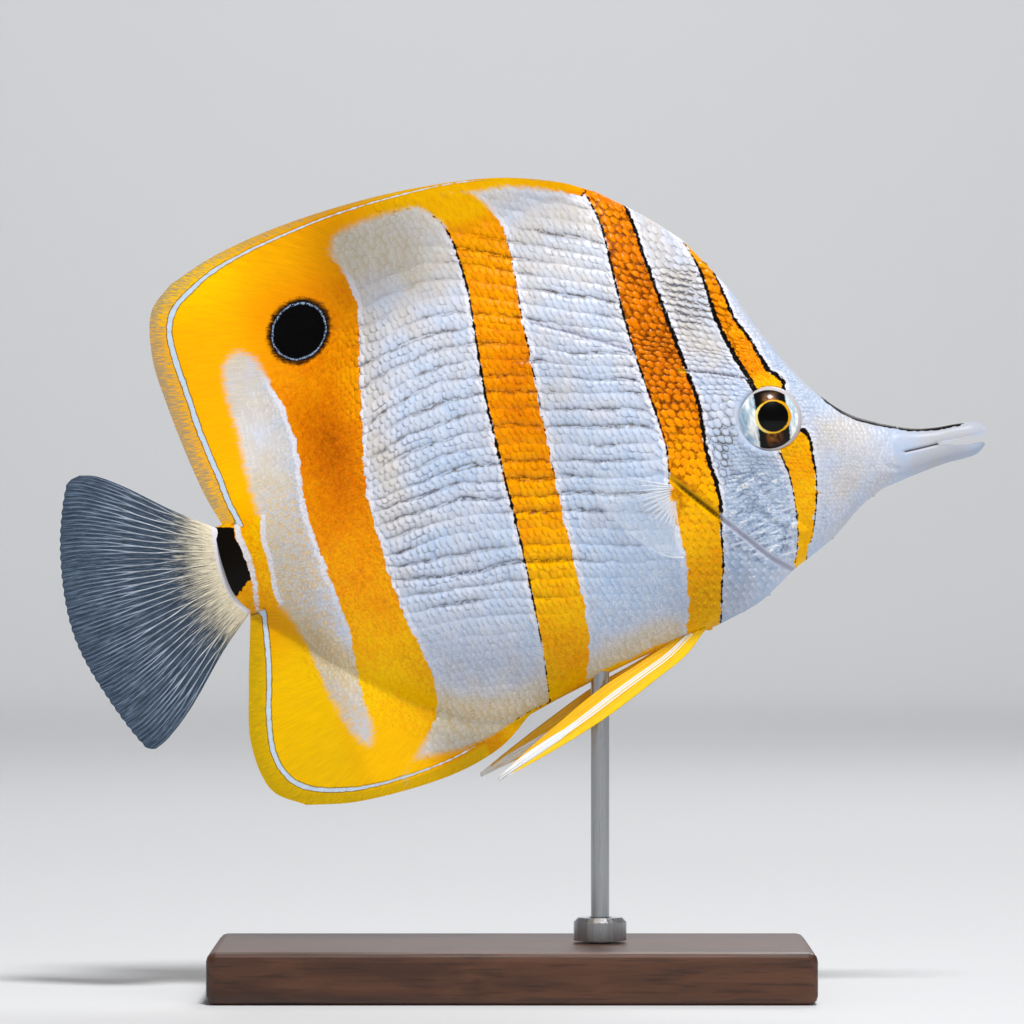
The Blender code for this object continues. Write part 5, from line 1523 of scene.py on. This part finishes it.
def brushed_steel():
    """Stainless rod rubbed along its length: fine lines that stretch the highlight."""
    material, add = new_material("brushed_stainless_steel")
    coordinates = add("TexCoord", out=3)
    lines = add("TexNoise", add("Mapping", coordinates, (2600.0, 2600.0, 60.0)), 1.0, 3.0)
    colour = add("Mix", lines, "#A5A7AA", "#D2D4D6")
    rough = add("MapRange", lines, 0.0, 1.0, 0.2, 0.4)
    normal = add("Bump", 0.2, 0.02 * MM, lines)
    return finish_material(material, {"Base Color": colour, "Roughness": rough, "Normal": normal,
                                      "Metallic": 1.0})


def stage_material():
    """Matt pale paper sweep."""
    material, _ = new_material("pale_paper")
    return finish_material(material, {"Base Color": "#D9DADC", "Roughness": 0.9})


# The paper sweep, in metres: it starts in front of the camera's foot and bends up far behind the model
SWEEP_WIDTH = 9.0
SWEEP_LENGTH = 6.0
SWEEP_FRONT = -1.9
SWEEP_BEND = 2.0
SWEEP_RADIUS = 0.9


def make_stage():
    """A floor that curves up into a backdrop behind the model."""
    mesh = bmesh.new()
    bmesh.ops.create_grid(mesh, x_segments=2, y_segments=60, size=0.5)
    for vert in mesh.verts:
        beyond = (vert.co.y + 0.5) * SWEEP_LENGTH + SWEEP_FRONT - SWEEP_BEND
        turn = min(max(beyond / SWEEP_RADIUS, 0.0), math.pi / 2)
        vert.co.x = vert.co.x * SWEEP_WIDTH
        vert.co.y = SWEEP_BEND + min(beyond, 0.0) + SWEEP_RADIUS * math.sin(turn)
        vert.co.z = SWEEP_RADIUS * (1.0 - math.cos(turn)) + max(beyond - SWEEP_RADIUS * math.pi / 2, 0.0)
    data = bpy.data.meshes.new("paper_sweep")
    mesh.to_mesh(data)
    mesh.free()
    data.shade_smooth()
    sweep = bpy.data.objects.new("paper_sweep", data)
    data.materials.append(stage_material())
    bpy.context.scene.collection.objects.link(sweep)


def add_light(name, place, size, power, aim=(0.0, 0.0, 0.1)):
    lamp = bpy.data.lights.new(name, "AREA")
    lamp.shape = "DISK"
    lamp.size = size
    lamp.energy = power
    light = bpy.data.objects.new(name, lamp)
    light.location = place
    light.rotation_euler = (Vector(aim) - Vector(place)).to_track_quat("-Z", "Y").to_euler()
    bpy.context.scene.collection.objects.link(light)
    return light


def make_lights():
    add_light("key_light", (0.15, -0.65, 1.25), 0.28, 18.0)
    fill = add_light("fill_light", (0.8, -1.2, 0.35), 0.7, 4.0)
    fill.visible_glossy = False
    add_light("rim_light", (0.2, 0.9, 0.9), 0.6, 5.0)
    add_light("backdrop_light", (0.0, 1.8, 1.5), 1.0, 14.0, aim=(0.0, 2.9, 0.5))
    world = bpy.data.worlds.new("soft_room")
    world.use_nodes = True
    background = world.node_tree.nodes["Background"]
    background.inputs["Color"].default_value = hex_colour("#E9ECF0")
    background.inputs["Strength"].default_value = 0.2
    bpy.context.scene.world = world
    bpy.context.scene.view_settings.view_transform = "Standard"


def make_camera():
    lens = bpy.data.cameras.new("photo_camera")
    lens.sensor_width = SENSOR
    lens.lens = SENSOR * CAMERA_DISTANCE / (1024.0 * PIXEL)
    lens.clip_start = 0.01
    camera = bpy.data.objects.new("photo_camera", lens)
    camera.location = (0.0, -CAMERA_DISTANCE * MM, CAMERA_HEIGHT * MM)
    camera.rotation_euler = (math.radians(90.0), 0.0, 0.0)
    bpy.context.scene.collection.objects.link(camera)
    bpy.context.scene.camera = camera


def finish_stand():
    finishes = {"stand_base": walnut()}
    steel = brushed_steel()
    finishes["stand_rod"] = steel
    finishes["stand_collar"] = steel
    for node, material in finishes.items():
        piece = bpy.data.objects[node]
        piece.data.materials.clear()
        piece.data.materials.append(material)


make_camera()
make_stage()
make_lights()
markings_group = fish_markings()
make_skin(marked_material("fish_skin", markings_group, 0.02, 0.1))
make_coat(marked_material("fish_scales", markings_group, 0.06, 0.06))
make_eyes(eye_material())
make_tail_fin(tail_material())
make_pelvic_fins(pelvic_material())
make_pectoral_fins(*pectoral_materials())
finish_stand()
